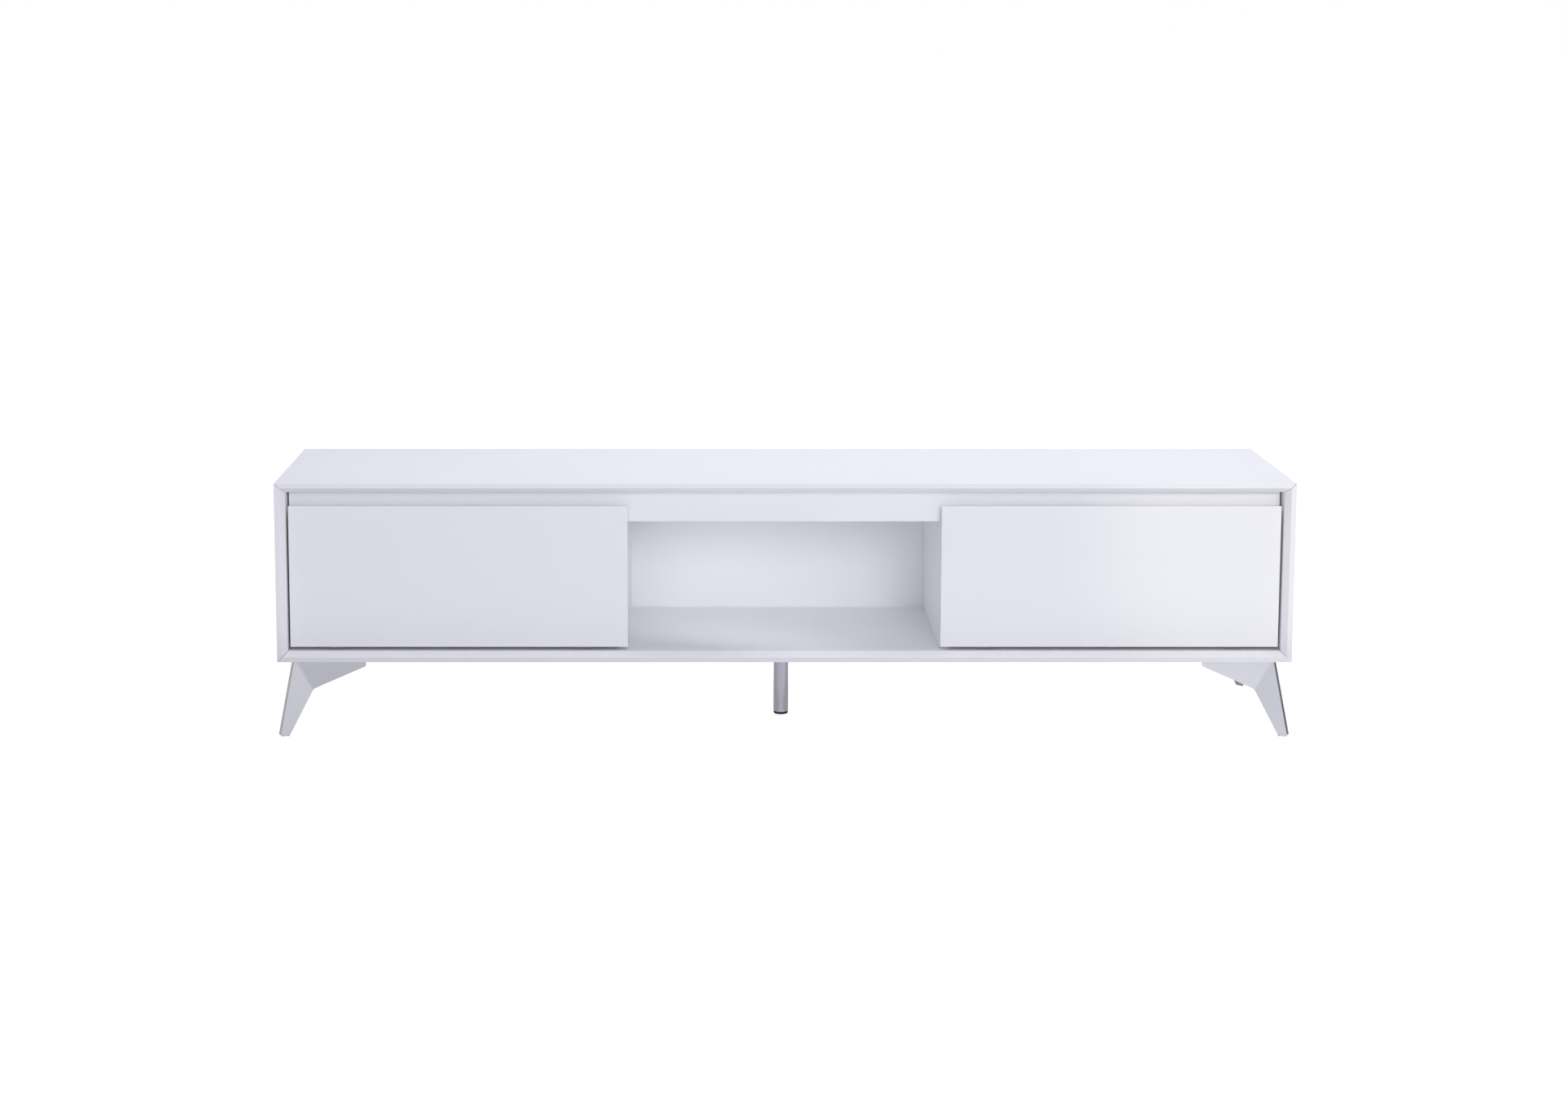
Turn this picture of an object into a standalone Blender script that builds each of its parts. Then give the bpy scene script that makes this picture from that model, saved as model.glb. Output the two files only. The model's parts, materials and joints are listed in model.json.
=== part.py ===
"""A long, low tv stand: a mitred box on folded steel legs, with a drop-down flap door at each end.

Metres, +Z up. The front faces -Y, and the origin is on the floor under the middle of the body.
"""

import math

import bmesh
import bpy
from mathutils import Matrix, Vector

# Overall size
WIDTH = 1.800
DEPTH = 0.400
HEIGHT = 0.458
LEG_HEIGHT = 0.136
BOARD = 0.018                 # every board of the body and the doors
GAP = 0.0003                  # clearance between pieces that meet

# Inner faces of the body
FRONT_Y = -DEPTH / 2
FLOOR_Z = LEG_HEIGHT + BOARD
CEILING_Z = HEIGHT - BOARD
INNER_X = WIDTH / 2 - BOARD

# Front edge of the body's boards
EDGE_LAND = 0.009             # flat outer half
EDGE_SLOPE = 0.014            # how far back the inner half slopes

# Back panel, held in a groove
BACK_THICKNESS = 0.004
BACK_INSET = 0.0095           # from the rear edges to the panel
GROOVE_DEPTH = 0.007
BACK_FRONT_Y = DEPTH / 2 - BACK_INSET - BACK_THICKNESS

# Doors
DOOR_WIDTH = 0.600
DOOR_HEIGHT = 0.254
DOOR_SETBACK = 0.018          # from the body's front edge to the door's face
DOOR_SIDE_GAP = 0.004
DOOR_FOOT_GAP = 0.006
GRIP_LAND = 0.002             # flat part of the top edge, in front of the grip bevel
DOOR_FACE_Y = FRONT_Y + DOOR_SETBACK
DOOR_BACK_Y = DOOR_FACE_Y + BOARD
DOOR_LOW_Z = FLOOR_Z + DOOR_FOOT_GAP
DOOR_HIGH_Z = DOOR_LOW_Z + DOOR_HEIGHT
DOOR_OUTER_X = INNER_X - DOOR_SIDE_GAP
DOOR_INNER_X = DOOR_OUTER_X - DOOR_WIDTH

# Dividers and front rail, just behind the doors
RAIL_HEIGHT = 0.057
RAIL_END_GAP = 0.003
RAIL_FRONT_Y = DOOR_BACK_Y + 0.004
RAIL_BACK_Y = RAIL_FRONT_Y + BOARD
RAIL_LOW_Z = CEILING_Z - RAIL_HEIGHT

# Door hinges
AXIS_Y = DOOR_FACE_Y + BOARD / 2
AXIS_Z = DOOR_LOW_Z + 0.007
HINGE_INSET = 0.080           # from each end of the door
HINGE_CUP_WIDTH = 0.026
HINGE_CUP_DEPTH = 0.0145
HINGE_CUP_HEIGHT = 0.020
HINGE_SHEET = 0.0009
HINGE_PIN_RADIUS = 0.002
HINGE_EYE_RADIUS = 0.0038
HINGE_ARM_WIDTH = 0.016
HINGE_ARM_HALF_HEIGHT = 0.0034
HINGE_UPRIGHT = 0.0030        # thickness of the arm's upright and foot plate
HINGE_UPRIGHT_Y = AXIS_Y + 0.0145
HINGE_PLATE_LENGTH = 0.052
HINGE_PLATE_WIDTH = 0.030

# Flap stays: a rod hinged on the door slides through a brake that swivels on the side panel.
# Rod pin and brake pivot lie at the same radius from the door's axis.
STAY_X = INNER_X - 0.015
STAY_PIN_BACK = 0.016         # rod pin behind the door's axis, door closed
STAY_PIN_UP = 0.150           # rod pin above the door's axis, door closed
BRAKE_ANGLE = math.radians(50)  # brake pivot's direction from the door's axis, up from straight back
ROD_RADIUS = 0.003
ROD_LENGTH = 0.285
ROD_EYE_RADIUS = 0.0065
ROD_EYE_WIDTH = 0.007
STAY_PIN_RADIUS = 0.0025
BRAKE_SIZE = (0.014, 0.018, 0.024)   # across, high, along the rod
BRAKE_STUD_RADIUS = 0.003
BRAKE_STUD_DEPTH = 0.0025
WALL_PLATE_RADIUS = 0.016
WALL_PLATE_THICKNESS = 0.003
DOOR_PLATE_SIZE = (0.030, 0.002, 0.036)
LUG_THICKNESS = 0.0025

# Magnetic catch, strike plate and bumpers
CATCH_Z = RAIL_LOW_Z + 0.0075
CATCH_FLANGE_RADIUS = 0.0055
CATCH_SHANK_RADIUS = 0.0042
CATCH_SHANK_LENGTH = 0.010
CATCH_FACE_GAP = 0.0004
STRIKE_RADIUS = 0.0058
STRIKE_THICKNESS = 0.0015
STRIKE_RECESS = 0.0012
BUMPER_RADIUS = 0.004
BUMPER_INSET = 0.030

# Corner legs, folded from one sheet. Their points are (in from the side, in from the front, up).
SHEET = 0.003
LEG_INSET = 0.023             # the legs' upright flanges, in from the body's faces
RIDGE = 0.005                 # share of each face taken by the narrow strip down the corner fold
WING_LENGTH = 0.155
WING_END_HEIGHT = 0.012
KINK_IN = 0.061
KINK_UP = 0.0824
FOOT_END = (0.0215, 0.0055)   # the foot's outline: (in from the side, up) at its inner end,
FOOT_LOW = (0.0165, 0.0012)   # along its lowest edge
FOOT_TOE = (0.0090, 0.0012)
FOOT_UP = 0.0045              # and, up only, where the corner strip ends
LEG_TOP = LEG_HEIGHT - GAP
LEG_SCREW_AT = (0.115, 0.040)
GLIDE_HEIGHT = 0.014
GLIDE_START = 0.002
GLIDE_END = 0.0155
GLIDE_CLEARANCE = 0.0007

# Leg screws
SCREW_RADIUS = 0.0022
SCREW_HEAD_RADIUS = 0.0055
SCREW_HEAD_HEIGHT = 0.0026
SCREW_IN_BOARD = 0.011

# Centre leg
CENTRE_Y = -0.024
TUBE_RADIUS = 0.01345
TUBE_WALL = 0.0015
TUBE_LOW_Z = 0.0046
FLANGE_RADIUS = 0.030
FLANGE_THICKNESS = 0.003
ADJUSTER_HEIGHT = 0.0042
ADJUSTER_RADIUS = 0.0131
STEM_RADIUS = TUBE_RADIUS - TUBE_WALL - GAP
STEM_LENGTH = 0.030

COARSE, FINE = 16, 32         # sides of small and of larger round pieces
SIDES = (("left", -1), ("right", 1))


def fresh_collection(name):
    found = bpy.data.collections.get(name)
    if found:
        bpy.data.collections.remove(found)
    made = bpy.data.collections.new(name)
    bpy.context.scene.collection.children.link(made)
    return made


for leftover in list(bpy.data.objects):
    bpy.data.objects.remove(leftover, do_unlink=True)
PARTS = fresh_collection("tv_stand_with_doors")
CUTTERS = fresh_collection("cutters")


def finish(name, colour, roughness, metallic=0.0):
    made = bpy.data.materials.new(name)
    made.use_nodes = True
    shader = made.node_tree.nodes["Principled BSDF"]
    shader.inputs["Base Color"].default_value = (*colour, 1.0)
    shader.inputs["Roughness"].default_value = roughness
    shader.inputs["Metallic"].default_value = metallic
    made.diffuse_color = (*colour, 1.0)
    return made


WHITE_LACQUER = finish("white_lacquer", (0.84, 0.84, 0.86), 0.32)
WHITE_BACK = finish("white_back_board", (0.80, 0.80, 0.82), 0.55)
LEG_STEEL = finish("leg_steel", (0.72, 0.73, 0.76), 0.35, 0.6)
TUBE_STEEL = finish("tube_steel", (0.52, 0.52, 0.55), 0.38, 0.8)
NICKEL = finish("nickel_hardware", (0.62, 0.61, 0.59), 0.28, 1.0)
BLACK_PLASTIC = finish("black_plastic", (0.02, 0.02, 0.022), 0.5)
WHITE_PLASTIC = finish("white_plastic", (0.78, 0.78, 0.78), 0.4)
GREY_PLASTIC = finish("grey_plastic", (0.42, 0.42, 0.43), 0.5)
GREY_RUBBER = finish("grey_rubber", (0.45, 0.45, 0.46), 0.7)


# Modelling helpers

def add_object(name, shape, surface, place=(0, 0, 0)):
    """A new object in the parts, or in the cutters when it has no surface."""
    mesh = bpy.data.meshes.new(name)
    shape.to_mesh(mesh)
    shape.free()
    made = bpy.data.objects.new(name, mesh)
    made.location = place
    if surface:
        mesh.materials.append(surface)
        PARTS.objects.link(made)
    else:
        made.hide_render = True
        made.display_type = "WIRE"
        CUTTERS.objects.link(made)
    return made


def box(name, low, high, surface=None):
    """A box between two opposite corners, with its origin at its centre."""
    low, high = Vector(low), Vector(high)
    shape = bmesh.new()
    bmesh.ops.create_cube(shape, size=1.0)
    bmesh.ops.scale(shape, vec=high - low, verts=shape.verts)
    return add_object(name, shape, surface, (low + high) / 2)


def rod_between(name, start, end, radius, surface=None, sides=COARSE):
    """A cylinder from one point to another, with its origin at the first."""
    start, along = Vector(start), Vector(end) - Vector(start)
    shape = bmesh.new()
    bmesh.ops.create_cone(
        shape, cap_ends=True, segments=sides, radius1=radius, radius2=radius, depth=along.length
    )
    turn = along.to_track_quat("Z", "Y").to_matrix().to_4x4()
    bmesh.ops.transform(shape, matrix=Matrix.Translation(along / 2) @ turn, verts=shape.verts)
    made = add_object(name, shape, surface, start)
    smooth(made)
    return made


def turned(name, profile, surface, place, turn=(0, 0, 0), sides=COARSE):
    """A round piece: its profile of (radius, height) points, listed top to bottom, swept about Z."""
    shape = bmesh.new()
    points = [shape.verts.new((radius, 0, height)) for radius, height in profile]
    for upper, lower in zip(points, points[1:]):
        shape.edges.new((upper, lower))
    made = add_object(name, shape, surface, place)
    made.rotation_euler = turn
    sweep = made.modifiers.new("Turned", "SCREW")
    sweep.steps = sweep.render_steps = sides
    sweep.use_merge_vertices = True
    sweep.merge_threshold = 1e-5
    sweep.use_smooth_shade = True
    return made


def smooth(made):
    made.data.shade_smooth()
    made.data.set_sharp_from_angle(angle=math.radians(35))


def combine(made, other, operation):
    """A Boolean of this object with another, which joins the hidden cutters."""
    if other.name in PARTS.objects:
        PARTS.objects.unlink(other)
        CUTTERS.objects.link(other)
    other.hide_render = True
    other.display_type = "WIRE"
    step = made.modifiers.new(operation.title(), "BOOLEAN")
    step.operation = operation
    step.object = other


def cut(made, *cutters):
    for cutter in cutters:
        combine(made, cutter, "DIFFERENCE")


def fuse(made, *others):
    for other in others:
        combine(made, other, "UNION")


def slice_off(shape, point, outward):
    """Removes what lies on the outward side of a plane, and closes the cut with one face."""
    found = bmesh.ops.bisect_plane(
        shape,
        geom=shape.verts[:] + shape.edges[:] + shape.faces[:],
        plane_co=point,
        plane_no=outward,
        clear_outer=True,
    )
    rim = [item for item in found["geom_cut"] if isinstance(item, bmesh.types.BMEdge)]
    bmesh.ops.contextual_create(shape, geom=rim)


def hang_on(pivot_name, place, pieces):
    """An empty on a joint's axis that carries the pieces of one moving body."""
    pivot = bpy.data.objects.new(pivot_name, None)
    pivot.location = place
    PARTS.objects.link(pivot)
    for piece in pieces:
        piece.parent = pivot
        piece.matrix_parent_inverse = Matrix.Translation(-Vector(place))


# The body

def frame_board(name, length, place, turn):
    """A board with 45 degree mitred ends. Unturned it lies flat, with its outer face up at z = 0."""
    shape = bmesh.new()
    bmesh.ops.create_cube(shape, size=1.0)
    bmesh.ops.scale(shape, vec=(length, DEPTH, BOARD), verts=shape.verts)
    bmesh.ops.translate(shape, vec=(0, 0, -BOARD / 2), verts=shape.verts)
    for end in (-1, 1):
        mitre_at = (end * (length / 2 - GAP * math.sqrt(0.5)), 0, 0)
        slice_off(shape, mitre_at, (end, 0, -1))
    slice_off(shape, (0, FRONT_Y, -EDGE_LAND), (0, EDGE_LAND - BOARD, -EDGE_SLOPE))
    made = add_object(name, shape, WHITE_LACQUER, place)
    made.rotation_euler = (0, turn, 0)
    return made


def build_body():
    body_height = HEIGHT - LEG_HEIGHT
    middle_z = (HEIGHT + LEG_HEIGHT) / 2
    quarter = math.pi / 2
    boards = [
        frame_board("top_panel", WIDTH, (0, 0, HEIGHT), 0),
        frame_board("bottom_panel", WIDTH, (0, 0, LEG_HEIGHT), math.pi),
        frame_board("left_side_panel", body_height, (-WIDTH / 2, 0, middle_z), -quarter),
        frame_board("right_side_panel", body_height, (WIDTH / 2, 0, middle_z), quarter),
    ]
    reach_x = INNER_X + GROOVE_DEPTH
    low_z, high_z = FLOOR_Z - GROOVE_DEPTH, CEILING_Z + GROOVE_DEPTH
    back_y = BACK_FRONT_Y + BACK_THICKNESS
    groove = box(
        "back_panel_groove", (-reach_x, BACK_FRONT_Y - GAP, low_z), (reach_x, back_y + GAP, high_z)
    )
    for board in boards:
        cut(board, groove)
    box(
        "back_panel",
        (GAP - reach_x, BACK_FRONT_Y, low_z + GAP),
        (reach_x - GAP, back_y, high_z - GAP),
        WHITE_BACK,
    )
    rail_x = INNER_X - RAIL_END_GAP
    rail = box(
        "front_rail",
        (-rail_x, RAIL_FRONT_Y, RAIL_LOW_Z),
        (rail_x, RAIL_BACK_Y, CEILING_Z - GAP),
        WHITE_LACQUER,
    )
    notch = box(
        "divider_notch",
        (-rail_x, RAIL_FRONT_Y - BOARD, RAIL_LOW_Z - GAP),
        (rail_x, RAIL_BACK_Y + GAP, CEILING_Z + BOARD),
    )
    for side, sign in SIDES:
        faces = sorted((sign * DOOR_INNER_X, sign * (DOOR_INNER_X + BOARD)))
        divider = box(
            f"{side}_divider",
            (faces[0], RAIL_FRONT_Y, FLOOR_Z + GAP),
            (faces[1], BACK_FRONT_Y - GAP, CEILING_Z - GAP),
            WHITE_LACQUER,
        )
        cut(divider, notch)
    return boards[1], rail


# The doors and their hinges

def build_door(side, sign):
    """The door's panel, bevelled behind its top edge as a grip."""
    centre_x = sign * (DOOR_INNER_X + DOOR_WIDTH / 2)
    shape = bmesh.new()
    bmesh.ops.create_cube(shape, size=1.0)
    bmesh.ops.scale(shape, vec=(DOOR_WIDTH, BOARD, DOOR_HEIGHT), verts=shape.verts)
    slice_off(shape, (0, GRIP_LAND - BOARD / 2, DOOR_HEIGHT / 2), (0, 1, 1))
    place = (centre_x, AXIS_Y, (DOOR_LOW_Z + DOOR_HIGH_Z) / 2)
    return add_object(f"{side}_door_panel", shape, WHITE_LACQUER, place)


def build_hinge(label, x, door):
    """One hinge: a cup sunk in the door, the pin across it, and the arm that comes out of it."""
    half = HINGE_CUP_WIDTH / 2
    front_y = DOOR_BACK_Y - HINGE_CUP_DEPTH
    top_z = DOOR_LOW_Z + HINGE_CUP_HEIGHT
    pocket = box(
        f"{label}_pocket",
        (x - half, front_y, DOOR_LOW_Z - BOARD),
        (x + half, DOOR_BACK_Y + BOARD, top_z),
    )
    cut(door, pocket)
    outer, inner = half - GAP, half - GAP - HINGE_SHEET
    cup = box(
        f"{label}_cup",
        (x - outer, front_y + GAP, DOOR_LOW_Z + GAP),
        (x + outer, DOOR_BACK_Y - GAP, top_z - GAP),
        NICKEL,
    )
    hollow = box(
        f"{label}_cup_hollow",
        (x - inner, front_y + GAP + HINGE_SHEET, DOOR_LOW_Z - BOARD),
        (x + inner, DOOR_BACK_Y + BOARD, top_z - GAP - HINGE_SHEET),
    )
    pin_hole = rod_between(
        f"{label}_pin_hole",
        (x - HINGE_CUP_WIDTH, AXIS_Y, AXIS_Z),
        (x + HINGE_CUP_WIDTH, AXIS_Y, AXIS_Z),
        HINGE_PIN_RADIUS + GAP,
    )
    cut(cup, hollow, pin_hole)
    pin = rod_between(
        f"{label}_pin", (x - outer, AXIS_Y, AXIS_Z), (x + outer, AXIS_Y, AXIS_Z), HINGE_PIN_RADIUS, NICKEL
    )
    build_hinge_arm(label, x, pin_hole)
    return [cup, pin]


def build_hinge_arm(label, x, pin_hole):
    half_arm, half_plate = HINGE_ARM_WIDTH / 2, HINGE_PLATE_WIDTH / 2
    plate_z = FLOOR_Z + GAP
    arm_z = AXIS_Z + HINGE_ARM_HALF_HEIGHT
    arm = box(
        f"{label}_arm",
        (x - half_plate, HINGE_UPRIGHT_Y, plate_z),
        (x + half_plate, HINGE_UPRIGHT_Y + HINGE_PLATE_LENGTH, plate_z + HINGE_UPRIGHT),
        NICKEL,
    )
    upright = box(
        f"{label}_arm_upright",
        (x - half_arm, HINGE_UPRIGHT_Y, plate_z + HINGE_UPRIGHT / 2),
        (x + half_arm, HINGE_UPRIGHT_Y + HINGE_UPRIGHT, arm_z),
    )
    reach = box(
        f"{label}_arm_reach",
        (x - half_arm, AXIS_Y, AXIS_Z - HINGE_ARM_HALF_HEIGHT),
        (x + half_arm, HINGE_UPRIGHT_Y + HINGE_UPRIGHT, arm_z),
    )
    eye = rod_between(
        f"{label}_arm_eye",
        (x - half_arm, AXIS_Y, AXIS_Z),
        (x + half_arm, AXIS_Y, AXIS_Z),
        HINGE_EYE_RADIUS,
        sides=FINE,
    )
    fuse(arm, upright, reach, eye)
    cut(arm, pin_hole)


# The flap stays

def build_stay(side, sign):
    """One flap stay: returns the rod pin's place with the rod, the brake and the door's bracket."""
    x = sign * STAY_X
    radius = math.hypot(STAY_PIN_BACK, STAY_PIN_UP)
    axis = Vector((x, AXIS_Y, AXIS_Z))
    pin = axis + Vector((0, STAY_PIN_BACK, STAY_PIN_UP))
    pivot = axis + radius * Vector((0, math.cos(BRAKE_ANGLE), math.sin(BRAKE_ANGLE)))
    along = (pivot - pin).normalized()
    outward = Vector((sign, 0, 0))

    rod = rod_between(f"{side}_stay_rod", pin, pin + ROD_LENGTH * along, ROD_RADIUS, NICKEL)
    half_eye = ROD_EYE_WIDTH / 2 * outward
    fuse(rod, rod_between(f"{side}_rod_eye", pin - half_eye, pin + half_eye, ROD_EYE_RADIUS, sides=FINE))
    pin_reach = (ROD_EYE_WIDTH / 2 + LUG_THICKNESS) * outward
    cut(rod, rod_between(f"{side}_rod_eye_hole", pin - pin_reach, pin + pin_reach, STAY_PIN_RADIUS + GAP))

    across, high, long = BRAKE_SIZE
    shape = bmesh.new()
    bmesh.ops.create_cube(shape, size=1.0)
    bmesh.ops.scale(shape, vec=(across, long, high), verts=shape.verts)
    brake = add_object(f"{side}_stay_brake", shape, BLACK_PLASTIC, pivot)
    brake.rotation_euler = (math.atan2(along.z, along.y), 0, 0)
    soften = brake.modifiers.new("Bevel", "BEVEL")
    soften.width = 0.002
    soften.segments = 2
    bore = rod_between(f"{side}_brake_bore", pivot - long * along, pivot + long * along, ROD_RADIUS + GAP)
    stud_face = pivot + across / 2 * outward
    stud_hole = rod_between(
        f"{side}_brake_stud_hole",
        stud_face - (BRAKE_STUD_DEPTH + GAP) * outward,
        stud_face + BOARD * outward,
        BRAKE_STUD_RADIUS + GAP,
    )
    cut(brake, bore, stud_hole)

    wall_face = Vector((sign * (INNER_X - GAP), pivot.y, pivot.z))
    plate_face = wall_face - WALL_PLATE_THICKNESS * outward
    wall = rod_between(f"{side}_stay_wall_bracket", wall_face, plate_face, WALL_PLATE_RADIUS, NICKEL, FINE)
    stud_end = stud_face - BRAKE_STUD_DEPTH * outward
    fuse(wall, rod_between(f"{side}_wall_stud", wall_face - GAP * outward, stud_end, BRAKE_STUD_RADIUS))
    return pin, pivot, rod, brake, build_door_bracket(side, sign, pin)


def build_door_bracket(side, sign, pin):
    """A plate on the back of the door, with a lug beside the rod's eye and the pin through it."""
    outward = Vector((sign, 0, 0))
    width, thickness, height = DOOR_PLATE_SIZE
    lug_far = pin - (ROD_EYE_WIDTH / 2 + GAP + LUG_THICKNESS) * outward
    lug_near = lug_far + LUG_THICKNESS * outward
    plate_y = DOOR_BACK_Y + GAP
    plate_end = lug_near - width * outward
    plate = box(
        f"{side}_stay_door_bracket",
        (min(lug_near.x, plate_end.x), plate_y, pin.z - height / 2),
        (max(lug_near.x, plate_end.x), plate_y + thickness, pin.z + height / 2),
        NICKEL,
    )
    lug = rod_between(f"{side}_bracket_lug", lug_far, lug_near, ROD_EYE_RADIUS, sides=FINE)
    web = box(
        f"{side}_bracket_web",
        (min(lug_far.x, lug_near.x), plate_y, pin.z - ROD_EYE_RADIUS),
        (max(lug_far.x, lug_near.x), pin.y, pin.z + ROD_EYE_RADIUS),
    )
    pin_end = pin + (ROD_EYE_WIDTH / 2 + GAP) * outward
    fuse(plate, web, lug, rod_between(f"{side}_bracket_pin", lug_far, pin_end, STAY_PIN_RADIUS))
    return plate


# Catch and bumpers

def build_catch(side, sign, door, rail):
    """A magnet in the rail, its strike plate in the door, and a bumper near each end of the door."""
    x = sign * (DOOR_INNER_X + DOOR_WIDTH / 2)
    recess_y = DOOR_BACK_Y - STRIKE_RECESS
    strike_face_y = recess_y + GAP + STRIKE_THICKNESS
    cut(
        door,
        rod_between(
            f"{side}_strike_recess",
            (x, recess_y, CATCH_Z),
            (x, DOOR_BACK_Y + BOARD, CATCH_Z),
            STRIKE_RADIUS + GAP,
            sides=FINE,
        ),
    )
    strike = rod_between(
        f"{side}_strike_plate",
        (x, recess_y + GAP, CATCH_Z),
        (x, strike_face_y, CATCH_Z),
        STRIKE_RADIUS,
        NICKEL,
        FINE,
    )
    shank_end_y = RAIL_FRONT_Y + CATCH_SHANK_LENGTH
    cut(
        rail,
        rod_between(
            f"{side}_catch_hole",
            (x, RAIL_FRONT_Y - BOARD, CATCH_Z),
            (x, shank_end_y + GAP, CATCH_Z),
            CATCH_SHANK_RADIUS + GAP,
        ),
    )
    magnet_y = strike_face_y + CATCH_FACE_GAP
    flange_y = RAIL_FRONT_Y - GAP
    profile = [
        (0, flange_y - magnet_y),
        (CATCH_FLANGE_RADIUS, flange_y - magnet_y),
        (CATCH_FLANGE_RADIUS, 0),
        (0, 0),
    ]
    magnet = turned(
        f"{side}_magnetic_catch",
        profile,
        WHITE_PLASTIC,
        (x, magnet_y, CATCH_Z),
        (-math.pi / 2, 0, 0),
    )
    fuse(
        magnet,
        rod_between(
            f"{side}_catch_shank",
            (x, magnet_y + GAP, CATCH_Z),
            (x, shank_end_y, CATCH_Z),
            CATCH_SHANK_RADIUS,
        ),
    )
    for place, inset in (("inner", BUMPER_INSET), ("outer", DOOR_WIDTH - BUMPER_INSET)):
        bumper_x = sign * (DOOR_INNER_X + inset)
        rod_between(
            f"{side}_bumper_{place}",
            (bumper_x, RAIL_FRONT_Y - GAP, CATCH_Z),
            (bumper_x, DOOR_BACK_Y + GAP, CATCH_Z),
            BUMPER_RADIUS,
            GREY_RUBBER,
        )
    return strike


# The corner legs

def front_flange():
    """The leg's front face: the corners of the upper wing, and of the blade that runs to the foot."""
    ridge_top = Vector((LEG_INSET + RIDGE, LEG_INSET, LEG_TOP))
    wing_top = Vector((WING_LENGTH, LEG_INSET, LEG_TOP))
    wing_low = Vector((WING_LENGTH, LEG_INSET, LEG_TOP - WING_END_HEIGHT))
    kink = Vector((KINK_IN, LEG_INSET, KINK_UP))
    ridge_low = Vector((RIDGE, 0, FOOT_UP))
    normal = (kink - ridge_top).cross(ridge_low - ridge_top)
    foot = []
    for across, up in (FOOT_END, FOOT_LOW, FOOT_TOE):
        back = (ridge_top.dot(normal) - across * normal.x - up * normal.z) / normal.y
        foot.append(Vector((across, back, up)))
    return [ridge_top, wing_top, wing_low, kink], [ridge_top, kink, *foot, ridge_low]


def swapped(point):
    """The same corner on the side face, which mirrors the front one about the corner's diagonal."""
    return Vector((point.y, point.x, point.z))


def at_corner(shape, name, surface, sign_x, sign_y):
    """Turns a shape given as (in from the side, in from the front, up) into a leg piece at a corner."""
    matrix = Matrix.Diagonal((-sign_x, -sign_y, 1, 1))
    bmesh.ops.transform(shape, matrix=matrix, verts=shape.verts)
    bmesh.ops.recalc_face_normals(shape, faces=shape.faces)
    place = (sign_x * WIDTH / 2, sign_y * DEPTH / 2, 0)
    return add_object(name, shape, surface, place)


def build_corner_leg(name, sign_x, sign_y):
    wing, blade = front_flange()
    ridge_top, wing_top, ridge_low = blade[0], wing[1], blade[-1]
    strip = [ridge_top, swapped(ridge_top), swapped(ridge_low), ridge_low]
    top_plate = [ridge_top, swapped(ridge_top), swapped(wing_top), wing_top]
    shape = bmesh.new()
    for outline in (wing, blade, map(swapped, wing), map(swapped, blade), strip, top_plate):
        shape.faces.new([shape.verts.new(point) for point in outline])
    bmesh.ops.remove_doubles(shape, verts=shape.verts, dist=GAP / 10)
    leg = at_corner(shape, name, LEG_STEEL, sign_x, sign_y)
    face_outwards(leg, sign_x, sign_y)
    thickness = leg.modifiers.new("Sheet", "SOLIDIFY")
    thickness.thickness = SHEET
    thickness.offset = -1
    thickness.use_even_offset = True
    return leg


def face_outwards(leg, sign_x, sign_y):
    """Points an open sheet's faces away from the inside of the leg."""
    shape = bmesh.new()
    shape.from_mesh(leg.data)
    outward = Vector((sign_x, sign_y, 0))
    ridge = max(shape.faces, key=lambda face: face.calc_center_median().dot(outward))
    if ridge.normal.dot(outward) < 0:
        bmesh.ops.reverse_faces(shape, faces=shape.faces)
    shape.to_mesh(leg.data)
    shape.free()


def build_glide(name, sign_x, sign_y):
    """A block that fills the V of the leg's foot and leans with it, from the floor up."""
    toe, foot_low = front_flange()[1][-2], front_flange()[1][-3]
    along = (foot_low - toe).normalized()
    inward = Vector((-along.y, along.x, 0)) * (SHEET + GLIDE_CLEARANCE)
    near = Vector((RIDGE, 0, 0)) + inward
    front = [near + GLIDE_START * along, near + GLIDE_END * along]
    corners = [*front, *(swapped(point) for point in reversed(front))]
    shape = bmesh.new()
    base = shape.faces.new([shape.verts.new(point) for point in corners])
    top = bmesh.ops.extrude_face_region(shape, geom=[base], use_keep_orig=True)["geom"]
    lean = LEG_INSET / (LEG_TOP - FOOT_UP) * GLIDE_HEIGHT
    moved = [item for item in top if isinstance(item, bmesh.types.BMVert)]
    bmesh.ops.translate(shape, vec=(lean, lean, GLIDE_HEIGHT), verts=moved)
    return at_corner(shape, name, GREY_PLASTIC, sign_x, sign_y)


def build_leg_screw(name, x, y, leg, bottom_panel):
    plate_low_z = LEG_TOP - SHEET
    head_z = plate_low_z - GAP - SCREW_HEAD_HEIGHT
    tip_z = LEG_HEIGHT + SCREW_IN_BOARD
    edge = SCREW_HEAD_HEIGHT / 2
    profile = [
        (0, tip_z),
        (SCREW_RADIUS / 2, tip_z),
        (SCREW_RADIUS, tip_z - 2 * SCREW_RADIUS),
        (SCREW_RADIUS, plate_low_z - GAP),
        (SCREW_HEAD_RADIUS, plate_low_z - GAP),
        (SCREW_HEAD_RADIUS, head_z + edge),
        (SCREW_HEAD_RADIUS - edge, head_z),
        (0, head_z),
    ]
    turned(name, profile, NICKEL, (x, y, 0))
    hole = rod_between(
        f"{name}_hole",
        (x, y, plate_low_z - SHEET),
        (x, y, tip_z + GAP),
        SCREW_RADIUS + GAP,
    )
    cut(leg, hole)
    cut(bottom_panel, hole)


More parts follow.
